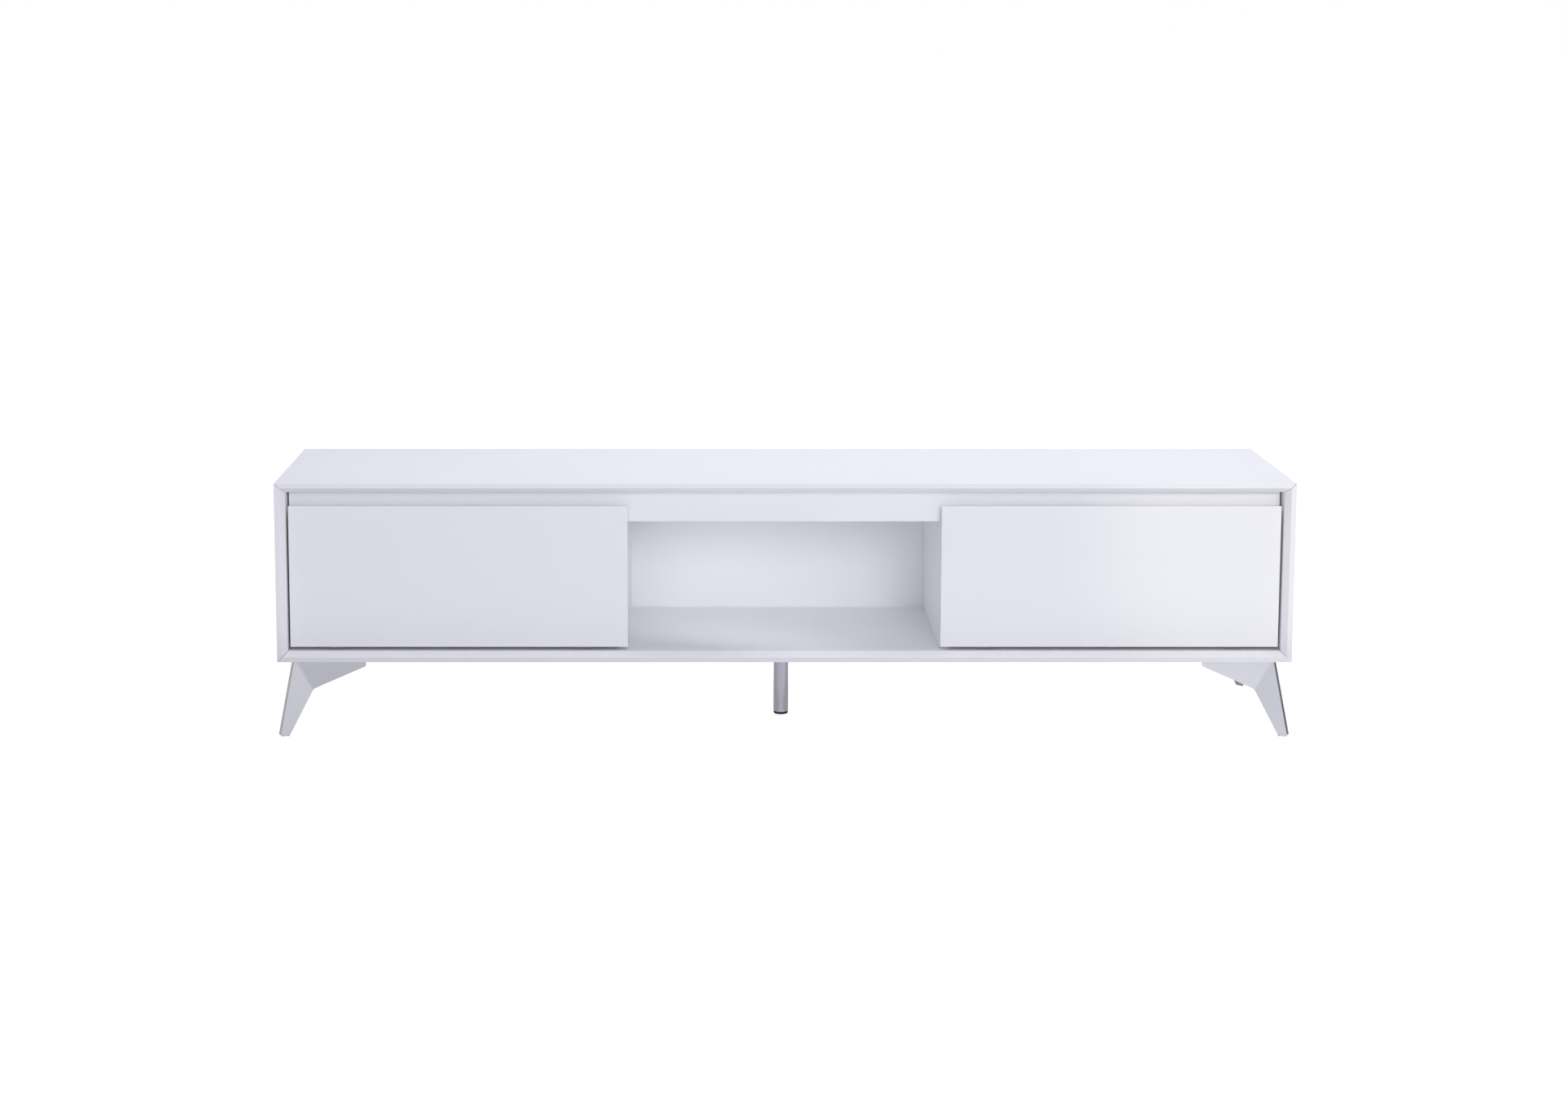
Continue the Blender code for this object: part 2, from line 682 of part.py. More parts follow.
def build_corner_legs(bottom_panel):
    for depth_name, sign_y in (("front", -1), ("rear", 1)):
        for side, sign_x in SIDES:
            corner = f"{depth_name}_{side}"
            leg = build_corner_leg(f"{corner}_leg", sign_x, sign_y)
            build_glide(f"{corner}_glide", sign_x, sign_y)
            for number, (in_x, in_y) in enumerate((LEG_SCREW_AT, LEG_SCREW_AT[::-1]), 1):
                x = sign_x * (WIDTH / 2 - in_x)
                y = sign_y * (DEPTH / 2 - in_y)
                build_leg_screw(f"{corner}_leg_screw_{number}", x, y, leg, bottom_panel)


# The centre leg

def build_centre_leg():
    """A steel tube under a round flange, with an adjuster that slides in its lower end."""
    place = (0, CENTRE_Y, 0)
    flange_low_z = LEG_TOP - FLANGE_THICKNESS
    rod_between(
        "centre_leg_flange",
        (0, CENTRE_Y, flange_low_z),
        (0, CENTRE_Y, LEG_TOP),
        FLANGE_RADIUS,
        NICKEL,
        FINE,
    )
    tube = rod_between(
        "centre_leg_tube",
        (0, CENTRE_Y, TUBE_LOW_Z),
        (0, CENTRE_Y, flange_low_z - GAP),
        TUBE_RADIUS,
        TUBE_STEEL,
        FINE,
    )
    bore = rod_between(
        "centre_tube_bore",
        (0, CENTRE_Y, -TUBE_WALL),
        (0, CENTRE_Y, flange_low_z - GAP - 2 * TUBE_WALL),
        TUBE_RADIUS - TUBE_WALL,
        sides=FINE,
    )
    cut(tube, bore)
    profile = [
        (0, ADJUSTER_HEIGHT + STEM_LENGTH),
        (STEM_RADIUS, ADJUSTER_HEIGHT + STEM_LENGTH),
        (STEM_RADIUS, ADJUSTER_HEIGHT),
        (ADJUSTER_RADIUS, ADJUSTER_HEIGHT),
        (ADJUSTER_RADIUS, ADJUSTER_HEIGHT / 4),
        (ADJUSTER_RADIUS - ADJUSTER_HEIGHT / 4, 0),
        (0, 0),
    ]
    foot = turned("centre_leg_foot", profile, BLACK_PLASTIC, place, sides=FINE)
    hang_on("centre_foot_slide", place, [foot])


bottom_board, rail_board = build_body()
for side_name, side_sign in SIDES:
    door_panel = build_door(side_name, side_sign)
    on_door = [door_panel]
    for spot, inset_x in (("inner", HINGE_INSET), ("outer", DOOR_WIDTH - HINGE_INSET)):
        hinge_x = side_sign * (DOOR_INNER_X + inset_x)
        on_door += build_hinge(f"{side_name}_hinge_{spot}", hinge_x, door_panel)
    rod_pin, brake_pivot, stay_rod, stay_brake, door_bracket = build_stay(side_name, side_sign)
    on_door += [door_bracket, build_catch(side_name, side_sign, door_panel, rail_board)]
    hang_on(f"{side_name}_door_axis", (door_panel.location.x, AXIS_Y, AXIS_Z), on_door)
    hang_on(f"{side_name}_stay_rod_axis", rod_pin, [stay_rod])
    hang_on(f"{side_name}_stay_brake_axis", brake_pivot, [stay_brake])
build_corner_legs(bottom_board)
build_centre_leg()
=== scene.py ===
"""The looks of the low tv stand with doors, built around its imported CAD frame. Metres, front towards -Y."""

import json
import math

import bmesh
import bpy
from mathutils import Matrix, Vector


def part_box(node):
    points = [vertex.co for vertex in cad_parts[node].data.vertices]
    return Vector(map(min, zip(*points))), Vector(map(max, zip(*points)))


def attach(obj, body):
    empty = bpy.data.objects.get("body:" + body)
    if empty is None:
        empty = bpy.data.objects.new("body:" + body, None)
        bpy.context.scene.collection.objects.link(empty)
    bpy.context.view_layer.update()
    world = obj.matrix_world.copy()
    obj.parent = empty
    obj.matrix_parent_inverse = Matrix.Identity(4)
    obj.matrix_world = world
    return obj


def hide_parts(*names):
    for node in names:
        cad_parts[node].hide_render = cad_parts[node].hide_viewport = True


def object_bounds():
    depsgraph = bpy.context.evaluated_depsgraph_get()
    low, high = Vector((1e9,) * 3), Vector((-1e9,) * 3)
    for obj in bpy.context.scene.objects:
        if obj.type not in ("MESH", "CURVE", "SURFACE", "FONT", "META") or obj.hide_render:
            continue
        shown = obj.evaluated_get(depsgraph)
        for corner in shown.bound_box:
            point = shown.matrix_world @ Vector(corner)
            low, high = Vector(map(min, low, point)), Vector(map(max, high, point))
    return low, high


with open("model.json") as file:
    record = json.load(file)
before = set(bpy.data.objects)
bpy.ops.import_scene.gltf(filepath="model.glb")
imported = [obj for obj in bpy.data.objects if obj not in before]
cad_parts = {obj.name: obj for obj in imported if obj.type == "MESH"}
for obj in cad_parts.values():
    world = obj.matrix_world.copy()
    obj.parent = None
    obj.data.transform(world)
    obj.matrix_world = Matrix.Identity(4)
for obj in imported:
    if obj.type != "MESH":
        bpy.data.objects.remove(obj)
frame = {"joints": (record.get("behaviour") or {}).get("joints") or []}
cad_low, cad_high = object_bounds()

CABINET = "cabinet"
SIDES = (("left", -1), ("right", 1))

# Sizes of the boards, from the CAD nodes
WIDTH = cad_high.x - cad_low.x
DEPTH = cad_high.y - cad_low.y
HEIGHT = cad_high.z
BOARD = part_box("top_panel")[1].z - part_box("top_panel")[0].z
LEG_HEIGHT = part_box("bottom_panel")[0].z
GAP = 0.0003                  # clearance between pieces that meet

EDGE_LAND = 0.009             # the flat outer part of the body's front edge
EDGE_SLOPE = 0.014            # how far the inner part slopes back
MITRE_GAP = 0.0005            # the seam between two mitred boards
SOFT_EDGE = 0.0007            # radius of the lacquered boards' edges
GRIP_LAND = 0.002             # the flat top of a door in front of its grip bevel
BOARD_EDGE = 0.0004           # radius of the thin back board's edges
METAL_EDGE = 0.0004
CATCH_HOLE = 0.0045           # radius of the hole for a magnetic catch
SOFT_FROM = math.radians(28)  # edges sharper than this are softened
SHARP_FROM = math.radians(32)  # on pieces without soft edges, sharper edges stay crisp
WELD = 1e-6

JOINTS = {joint["name"]: joint for joint in frame["joints"]}


# ---------------------------------------------------------------- camera, light and stage

CAMERA_PLACE = (-0.1723, -5.0042, 1.262)
CAMERA_PITCH = math.radians(7.75)
CAMERA_LENS = 63.58
CAMERA_SHIFT = (0.0617, -0.100)
CAMERA_SENSOR = 36
CAMERA_REACH = 200

STAGE_REACH = 60
FLOOR_HEIGHT = -0.0005        # just below the feet
FLOOR_SHADE = 0.3
FLOOR_GLOW = 0.9
BOUNCE_HEIGHT = -0.001
BOUNCE_SHADE = 0.1
COOL = (0.955, 0.955, 1.05)   # tint of all the light but the spot's
WARM = (1.0, 1.0, 0.6)
SKY_BRIGHT_SIDE = (0.3, -0.35, 0.9)
SKY_RANGE = (0.25, 0.95)
SKY_SHARE = 0.48              # share of the sky's and the floor's shine that also lights matt surfaces
BOUNCE_SPAN = (-1.1, 1.1)     # the floor's light grows from the left to the right between these
BOUNCE_RANGE = (0.52, 0.82)
BOUNCE_SHARE = 0.50
AIM = (0, 0, 0.3)
KEY_PLACE = (0.9, -4.7, 1.85)
KEY_SIZE = (1.2, 1.2)
KEY_POWER = 42
FILL_PLACE = (0.4, -4.5, 1.0)
FILL_SIZE = (4.0, 2.0)
FILL_POWER = 42.5
BACK_PLACE = (0.5, 4.4, 0.75)  # a fill for the back, which the front doesn't see
BACK_SIZE = (4.0, 2.0)
BACK_POWER = 80
REFLECTOR_PLACE = (-0.2, -0.8, 0.15)  # a low reflector that faces up in front of the doors
REFLECTOR_AIM = (-0.2, -0.8, 1.0)
REFLECTOR_SIZE = (4.0, 1.1)
REFLECTOR_POWER = 4.2
TOP_PLACE = (0.35, 0.1, 2.6)
TOP_SIZE = (3.0, 1.2)
TOP_POWER = 35
CARD_PLACE = (-0.08, -0.115, 0.32)  # a small light in the open compartment, facing in and down
CARD_AIM = (0.08, 0.14, 0.15)
CARD_SIZE = (0.36, 0.10)
CARD_POWER = 0.15
SPOT_PLACE = (2.27, -4.15, 1.91)   # a soft spot on the right door's upper end
SPOT_AIM = (0.85, -0.18, 0.38)
SPOT_ANGLE = math.radians(8.4)
SPOT_BLEND = 0.75
SPOT_POWER = 78
SPOT_SOFTNESS = 0.06
FLAG_OUT = 1.6                # dark flags for the legs' ridges stand this far to the sides
FLAG_FRONT = -0.42            # and reach from here to here in Y
FLAG_BACK = 0.0
FLAG_HEIGHT = 0.5
FLAG_STRENGTH = {"left": 0.46, "right": 0.0}
SHADE_NEAR, SHADE_FAR = 0.014, 0.85  # the cabinet's shade beside the centre leg, in X
SHADE_FRONT, SHADE_BACK = -0.09, 0.18
SHADE_HEIGHT = -0.0008        # between the two floors
SHADE_STRENGTH = 0.47


def make_camera():
    data = bpy.data.cameras.new("camera")
    data.sensor_width = CAMERA_SENSOR
    data.lens = CAMERA_LENS
    data.shift_x, data.shift_y = CAMERA_SHIFT
    data.clip_end = CAMERA_REACH
    camera = bpy.data.objects.new("camera", data)
    camera.location = CAMERA_PLACE
    camera.rotation_euler = (math.pi / 2 - CAMERA_PITCH, 0, 0)
    bpy.context.scene.collection.objects.link(camera)
    bpy.context.scene.camera = camera


def hang_light(name, data, place, target):
    """A light that only matt surfaces show: neither the camera nor a reflection sees it."""
    light = bpy.data.objects.new(name, data)
    light.location = place
    aim = Vector(target) - Vector(place)
    light.rotation_euler = aim.to_track_quat("-Z", "Y").to_euler()
    light.visible_camera = light.visible_glossy = False
    bpy.context.scene.collection.objects.link(light)


def make_panel_light(name, place, target, size, power):
    data = bpy.data.lights.new(name, "AREA")
    data.shape = "RECTANGLE"
    data.size, data.size_y = size
    data.energy = power
    data.color = COOL
    hang_light(name, data, place, target)


def make_spot():
    data = bpy.data.lights.new("spot", "SPOT")
    data.energy = SPOT_POWER
    data.color = WARM
    data.spot_size = SPOT_ANGLE
    data.spot_blend = SPOT_BLEND
    data.shadow_soft_size = SPOT_SOFTNESS
    hang_light("spot", data, SPOT_PLACE, SPOT_AIM)


def shine_strength(nodes, links, value, share):
    """A light's strength as shiny surfaces see it, with only a share of it for matt ones."""
    scale = nodes.new("ShaderNodeMapRange")
    scale.inputs["To Min"].default_value = share
    scale.inputs["To Max"].default_value = 1.0
    links.new(nodes.new("ShaderNodeLightPath").outputs["Is Glossy Ray"], scale.inputs["Value"])
    total = nodes.new("ShaderNodeMath")
    total.operation = "MULTIPLY"
    links.new(value, total.inputs[0])
    links.new(scale.outputs["Result"], total.inputs[1])
    return total.outputs["Value"]


def make_world():
    """Soft light from above and in front. The camera sees plain white."""
    world = bpy.data.worlds.new("studio")
    bpy.context.scene.world = world
    world.use_nodes = True
    nodes, links = world.node_tree.nodes, world.node_tree.links
    light, backdrop = nodes["Background"], nodes.new("ShaderNodeBackground")
    light.inputs["Color"].default_value = (*COOL, 1)
    backdrop.inputs["Color"].default_value = (1, 1, 1, 1)
    facing = nodes.new("ShaderNodeVectorMath")
    facing.operation = "DOT_PRODUCT"
    facing.inputs[1].default_value = Vector(SKY_BRIGHT_SIDE).normalized()
    links.new(nodes.new("ShaderNodeTexCoord").outputs["Generated"], facing.inputs[0])
    ramp = nodes.new("ShaderNodeMapRange")
    ramp.inputs["From Min"].default_value = -1.0
    ramp.inputs["From Max"].default_value = 1.0
    ramp.inputs["To Min"].default_value, ramp.inputs["To Max"].default_value = SKY_RANGE
    links.new(facing.outputs["Value"], ramp.inputs["Value"])
    links.new(shine_strength(nodes, links, ramp.outputs["Result"], SKY_SHARE), light.inputs["Strength"])
    pick = nodes.new("ShaderNodeMixShader")
    links.new(nodes.new("ShaderNodeLightPath").outputs["Is Camera Ray"], pick.inputs["Fac"])
    links.new(light.outputs["Background"], pick.inputs[1])
    links.new(backdrop.outputs["Background"], pick.inputs[2])
    links.new(pick.outputs["Shader"], nodes["World Output"].inputs["Surface"])


def glowing(name, shade, emission, colour=(1, 1, 1)):
    """A matt stage material that also gives off its own light."""
    made = bpy.data.materials.new(name)
    made.use_nodes = True
    shader = made.node_tree.nodes["Principled BSDF"]
    shader.inputs["Base Color"].default_value = (shade, shade, shade, 1)
    shader.inputs["Roughness"].default_value = 1.0
    shader.inputs["Specular IOR Level"].default_value = 0.0
    shader.inputs["Emission Color"].default_value = (*colour, 1)
    shader.inputs["Emission Strength"].default_value = emission
    return made


def make_bounce_material():
    """The floor's light as the object meets it, dimmer to the left."""
    made = glowing("bounce", BOUNCE_SHADE, 1.0, COOL)
    nodes, links = made.node_tree.nodes, made.node_tree.links
    across = nodes.new("ShaderNodeSeparateXYZ")
    links.new(nodes.new("ShaderNodeTexCoord").outputs["Object"], across.inputs["Vector"])
    ramp = nodes.new("ShaderNodeMapRange")
    ramp.interpolation_type = "SMOOTHSTEP"
    ramp.inputs["From Min"].default_value, ramp.inputs["From Max"].default_value = BOUNCE_SPAN
    ramp.inputs["To Min"].default_value, ramp.inputs["To Max"].default_value = BOUNCE_RANGE
    links.new(across.outputs["X"], ramp.inputs["Value"])
    strength = shine_strength(nodes, links, ramp.outputs["Result"], BOUNCE_SHARE)
    links.new(strength, nodes["Principled BSDF"].inputs["Emission Strength"])
    return made


def make_sheet(name, low, high, material):
    """A flat stage piece between two opposite corners."""
    low, high = Vector(low), Vector(high)
    thin = min(range(3), key=lambda axis: high[axis] - low[axis])
    first, second = (axis for axis in range(3) if axis != thin)
    corners = []
    for share_a, share_b in ((0, 0), (1, 0), (1, 1), (0, 1)):
        corner = low.copy()
        corner[first] += share_a * (high[first] - low[first])
        corner[second] += share_b * (high[second] - low[second])
        corners.append(corner)
    mesh = bpy.data.meshes.new(name)
    mesh.from_pydata(corners, [], [(0, 1, 2, 3)])
    mesh.materials.append(material)
    made = bpy.data.objects.new(name, mesh)
    bpy.context.scene.collection.objects.link(made)
    return made


def make_ground(name, height, material):
    low, high = (-STAGE_REACH, -STAGE_REACH, height), (STAGE_REACH, STAGE_REACH, height)
    return make_sheet(name, low, high, material)


def make_stage():
    """A white floor for the camera and a softer one that lights the object. At each side there is a dark
    flag, and the cabinet's shade on the floor. These show only in the reflections of shiny pieces."""
    floor = make_ground("floor", FLOOR_HEIGHT, glowing("pale", FLOOR_SHADE, FLOOR_GLOW))
    floor.visible_diffuse = floor.visible_glossy = False
    bounce = make_ground("bounce_floor", BOUNCE_HEIGHT, make_bounce_material())
    bounce.visible_camera = False
    for side, sign in SIDES:
        dark = glowing(f"{side}_flag", 0.0, FLAG_STRENGTH[side])
        out = sign * FLAG_OUT
        flag = make_sheet(f"{side}_flag", (out, FLAG_FRONT, 0), (out, FLAG_BACK, FLAG_HEIGHT), dark)
        ends = sorted((sign * SHADE_NEAR, sign * SHADE_FAR))
        low, high = (ends[0], SHADE_FRONT, SHADE_HEIGHT), (ends[1], SHADE_BACK, SHADE_HEIGHT)
        shade = make_sheet(f"{side}_shade", low, high, glowing(f"{side}_shade", 0.0, SHADE_STRENGTH))
        for sheet in (flag, shade):
            sheet.visible_camera = sheet.visible_diffuse = sheet.visible_shadow = False


make_camera()
make_world()
make_stage()
make_panel_light("key", KEY_PLACE, AIM, KEY_SIZE, KEY_POWER)
make_panel_light("fill", FILL_PLACE, AIM, FILL_SIZE, FILL_POWER)
make_panel_light("back_fill", BACK_PLACE, AIM, BACK_SIZE, BACK_POWER)
make_panel_light("reflector", REFLECTOR_PLACE, REFLECTOR_AIM, REFLECTOR_SIZE, REFLECTOR_POWER)
make_panel_light("top", TOP_PLACE, (TOP_PLACE[0], TOP_PLACE[1], 0), TOP_SIZE, TOP_POWER)
make_panel_light("card", CARD_PLACE, CARD_AIM, CARD_SIZE, CARD_POWER)
make_spot()
bpy.context.scene.view_settings.view_transform = "Standard"


# ---------------------------------------------------------------- materials

class Surface:
    """A material whose Principled inputs are fed by small procedural node chains."""

    def __init__(self, name, colour, roughness, metallic=0.0, specular=0.5):
        self.material = bpy.data.materials.new(name)
        self.material.use_nodes = True
        self.nodes = self.material.node_tree.nodes
        self.links = self.material.node_tree.links
        self.shader = self.nodes["Principled BSDF"]
        self.colour = colour
        self.shader.inputs["Base Color"].default_value = (*colour, 1)
        self.shader.inputs["Roughness"].default_value = roughness
        self.shader.inputs["Metallic"].default_value = metallic
        self.shader.inputs["Specular IOR Level"].default_value = specular
        self.place = self.nodes.new("ShaderNodeTexCoord").outputs["Object"]
        self.material.diffuse_color = (*colour, 1)

    def noise(self, scale, stretch=(1, 1, 1), detail=3.0, roughness=0.5):
        """Noise of so many features a metre, each direction stretched by its own factor."""
        mapping = self.nodes.new("ShaderNodeMapping")
        mapping.inputs["Scale"].default_value = stretch
        self.links.new(self.place, mapping.inputs["Vector"])
        noise = self.nodes.new("ShaderNodeTexNoise")
        noise.inputs["Scale"].default_value = scale
        noise.inputs["Detail"].default_value = detail
        noise.inputs["Roughness"].default_value = roughness
        self.links.new(mapping.outputs["Vector"], noise.inputs["Vector"])
        return noise.outputs["Fac"]

    def spread(self, value, low, high, start=0.3, end=0.7):
        ramp = self.nodes.new("ShaderNodeMapRange")
        ramp.inputs["From Min"].default_value = start
        ramp.inputs["From Max"].default_value = end
        ramp.inputs["To Min"].default_value = low
        ramp.inputs["To Max"].default_value = high
        self.links.new(value, ramp.inputs["Value"])
        return ramp.outputs["Result"]

    def vary_colour(self, value, share):
        """The colour drifts by this share to either side as the value goes from low to high."""
        mix = self.nodes.new("ShaderNodeMix")
        mix.data_type = "RGBA"
        mix.inputs["A"].default_value = (*(part * (1 - share) for part in self.colour), 1)
        mix.inputs["B"].default_value = (*(min(1, part * (1 + share)) for part in self.colour), 1)
        self.links.new(value, mix.inputs["Factor"])
        self.links.new(mix.outputs["Result"], self.shader.inputs["Base Color"])

    def vary_roughness(self, value, low, high):
        self.links.new(self.spread(value, low, high), self.shader.inputs["Roughness"])

    def bump(self, value, height, strength=1.0):
        """Relief of the given height in metres. A second call lies on top of the first."""
        bump = self.nodes.new("ShaderNodeBump")
        bump.inputs["Strength"].default_value = strength
        bump.inputs["Distance"].default_value = height
        self.links.new(value, bump.inputs["Height"])
        before = self.shader.inputs["Normal"].links
        if before:
            self.links.new(before[0].from_socket, bump.inputs["Normal"])
        self.links.new(bump.outputs["Normal"], self.shader.inputs["Normal"])


def make_lacquer():
    """Satin white lacquer: a faint drift of tone, soft orange peel and an uneven sheen."""
    surface = Surface("satin_white_lacquer", (0.91, 0.91, 0.918), 0.36, specular=0.5)
    surface.vary_colour(surface.noise(2.5, (1, 2, 2), 2), 0.012)
    surface.vary_roughness(surface.noise(38, (0.4, 1, 1), 4), 0.33, 0.42)
    surface.bump(surface.noise(300, detail=2), 0.00006, 0.6)
    surface.bump(surface.noise(9, detail=1), 0.0006, 0.15)
    return surface.material


def make_back_board():
    """Thin coated board: flatter than the lacquer, with a fine pressed fibre pattern."""
    surface = Surface("matt_white_board", (0.90, 0.90, 0.908), 0.55, specular=0.35)
    surface.vary_colour(surface.noise(4, (1, 1, 2), 3), 0.02)
    surface.vary_roughness(surface.noise(60, detail=4), 0.48, 0.62)
    surface.bump(surface.noise(900, (1, 1, 0.35), 3), 0.00008, 0.7)
    return surface.material


def make_leg_steel():
    """Satin silver steel with fine streaks that run down the legs."""
    surface = Surface("satin_silver_steel", (0.81, 0.81, 0.82), 0.22, metallic=1.0)
    streaks = surface.noise(1100, (1, 1, 0.03), 4, 0.6)
    surface.vary_colour(surface.noise(14, (1, 1, 0.4), 3), 0.03)
    surface.vary_roughness(streaks, 0.17, 0.26)
    surface.bump(streaks, 0.00003, 0.5)
    return surface.material


def make_tube_steel():
    """Grey satin tube with fine lengthwise polishing marks."""
    surface = Surface("satin_grey_tube", (0.61, 0.61, 0.655), 0.26, metallic=0.95)
    marks = surface.noise(1500, (1, 1, 0.02), 3, 0.6)
    surface.vary_colour(surface.noise(25, (1, 1, 0.3), 3), 0.03)
    surface.vary_roughness(marks, 0.26, 0.38)
    surface.bump(marks, 0.00002, 0.5)
    return surface.material


def make_nickel():
    surface = Surface("nickel_plate", (0.66, 0.65, 0.62), 0.26, metallic=1.0)
    surface.vary_colour(surface.noise(120, detail=4), 0.04)
    surface.vary_roughness(surface.noise(420, detail=4), 0.20, 0.34)
    surface.bump(surface.noise(1800, detail=2), 0.00002, 0.5)
    return surface.material


def make_plastic(name, colour, low, high, grain):
    surface = Surface(name, colour, low, specular=0.45)
    surface.vary_colour(surface.noise(70, detail=3), 0.05)
    surface.vary_roughness(surface.noise(300, detail=3), low, high)
    surface.bump(surface.noise(grain, detail=2), 0.00006, 0.6)
    return surface.material


LACQUER = make_lacquer()
BACK_BOARD = make_back_board()
LEG_STEEL = make_leg_steel()
TUBE_STEEL = make_tube_steel()
NICKEL = make_nickel()
BLACK = make_plastic("black_moulding", (0.018, 0.018, 0.02), 0.42, 0.58, 1400)
WHITE_PLASTIC = make_plastic("white_moulding", (0.74, 0.74, 0.75), 0.34, 0.46, 1200)
GREY_PLASTIC = make_plastic("grey_moulding", (0.42, 0.42, 0.435), 0.40, 0.55, 1400)
RUBBER = make_plastic("soft_grey_rubber", (0.50, 0.50, 0.52), 0.45, 0.62, 800)


# ---------------------------------------------------------------- shaping helpers

def block(low, high):
    low, high = Vector(low), Vector(high)
    shape = bmesh.new()
    bmesh.ops.create_cube(shape, size=1.0)
    bmesh.ops.scale(shape, vec=high - low, verts=shape.verts)
    bmesh.ops.translate(shape, vec=(low + high) / 2, verts=shape.verts)
    return shape


def aimed(shape, place, direction=(0, 0, 1)):
    """The shape with its own +Z turned along a direction and its origin moved to a place."""
    turn = Vector(direction).to_track_quat("Z", "Y").to_matrix().to_4x4()
    bmesh.ops.transform(shape, matrix=Matrix.Translation(place) @ turn, verts=shape.verts)
    return shape


def turned(profile, sides=48):
    """A round shape about Z from (radius, height) points, listed from top to bottom."""
    shape = bmesh.new()
    points = [shape.verts.new((radius, 0, height)) for radius, height in profile]
    edges = [shape.edges.new(pair) for pair in zip(points, points[1:])]
    bmesh.ops.spin(
        shape, geom=points + edges, cent=(0, 0, 0), axis=(0, 0, 1), angle=2 * math.pi, steps=sides
    )
    bmesh.ops.remove_doubles(shape, verts=shape.verts, dist=WELD)
    bmesh.ops.recalc_face_normals(shape, faces=shape.faces)
    return shape


def bar(start, end, radius, sides=32):
    start, along = Vector(start), Vector(end) - Vector(start)
    profile = [(0, along.length), (radius, along.length), (radius, 0), (0, 0)]
    return aimed(turned(profile, sides), start, along)


def slice_off(shape, point, outward):
    """Removes what lies on the outward side of a plane, and closes the cut with one face."""
    found = bmesh.ops.bisect_plane(
        shape,
        geom=shape.verts[:] + shape.edges[:] + shape.faces[:],
        plane_co=point,
        plane_no=outward,
        clear_outer=True,
    )
    rim = [item for item in found["geom_cut"] if isinstance(item, bmesh.types.BMEdge)]
    bmesh.ops.contextual_create(shape, geom=rim)


def quarter_turn(steps):
    """The angles from nothing to a right angle, in so many steps."""
    return [step / steps * math.pi / 2 for step in range(steps + 1)]


def middle_of(node):
    """The middle of a CAD node's box, half its width in X and its whole depth in Y."""
    low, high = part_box(node)
    return (low + high) / 2, (high.x - low.x) / 2, high.y - low.y


def as_object(name, shape):
    mesh = bpy.data.meshes.new(name)
    shape.to_mesh(mesh)
    shape.free()
    made = bpy.data.objects.new(name, mesh)
    bpy.context.scene.collection.objects.link(made)
    return made


def carved(shape, others, operation="DIFFERENCE"):
    """The shape cut by others, or joined to them, with a Boolean for each."""
    target = as_object("carving", shape)
    tools = [as_object("tool", other) for other in others]
    for tool in tools:
        step = target.modifiers.new("Carve", "BOOLEAN")
        step.operation = operation
        step.solver = "MANIFOLD"
        step.object = tool
    result = bmesh.new()
    result.from_object(target, bpy.context.evaluated_depsgraph_get())
    for used in (target, *tools):
        mesh = used.data
        bpy.data.objects.remove(used)
        bpy.data.meshes.remove(mesh)
    return result


def joined(*shapes):
    return carved(shapes[0], shapes[1:], "UNION")


def show(name, shape, surface, body, nodes=(), edge=0.0, segments=2):
    """Makes a visible piece: softened edges, its material, its body and the nodes it stands for."""
    made = as_object(name, shape) if isinstance(shape, bmesh.types.BMesh) else shape
    made.data.materials.clear()
    made.data.materials.append(surface)
    made.data.shade_smooth()
    if edge:
        soften = made.modifiers.new("Soft edges", "BEVEL")
        soften.width = edge
        soften.segments = segments
        soften.limit_method = "ANGLE"
        soften.angle_limit = SOFT_FROM
        soften.harden_normals = True
    else:
        made.data.set_sharp_from_angle(angle=SHARP_FROM)
    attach(made, body)
    if nodes:
        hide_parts(*nodes)
    return made


# ---------------------------------------------------------------- the body

def frame_board(node, length, place, turn, groove):
    """A board with mitred ends and the sloped front edge, softened all round."""
    shape = block((-length / 2, -DEPTH / 2, -BOARD), (length / 2, DEPTH / 2, 0))
    for end in (-1, 1):
        mitre_at = (end * (length / 2 - MITRE_GAP * math.sqrt(0.5)), 0, 0)
        slice_off(shape, mitre_at, (end, 0, -1))
    slice_off(shape, (0, -DEPTH / 2, -EDGE_LAND), (0, EDGE_LAND - BOARD, -EDGE_SLOPE))
    matrix = Matrix.Translation(place) @ Matrix.Rotation(turn, 4, "Y")
    bmesh.ops.transform(shape, matrix=matrix, verts=shape.verts)
    shape = carved(shape, [block(*groove)])
    show(f"{node}_detail", shape, LACQUER, CABINET, [node], SOFT_EDGE, 3)


def make_rail():
    """The rail under the top, with a hole for each magnetic catch."""
    low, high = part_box("front_rail")
    holes = []
    for side, _ in SIDES:
        middle, _, depth = middle_of(f"{side}_magnetic_catch")
        front, back = Vector((middle.x, low.y - BOARD, middle.z)), middle + Vector((0, depth / 2 + GAP, 0))
        holes.append(bar(front, back, CATCH_HOLE))
    shape = carved(block(low, high), holes)
    show("front_rail_detail", shape, LACQUER, CABINET, ["front_rail"], SOFT_EDGE, 3)


def make_divider(side):
    """A divider, notched at its upper front corner where the rail passes."""
    rail_low, rail_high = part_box("front_rail")
    notch_low = Vector((rail_low.x, rail_low.y - BOARD, rail_low.z - GAP))
    notch_high = Vector((rail_high.x, rail_high.y + GAP, rail_high.z + BOARD))
    shape = carved(block(*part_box(f"{side}_divider")), [block(notch_low, notch_high)])
    show(f"{side}_divider_detail", shape, LACQUER, CABINET, [f"{side}_divider"], SOFT_EDGE, 3)


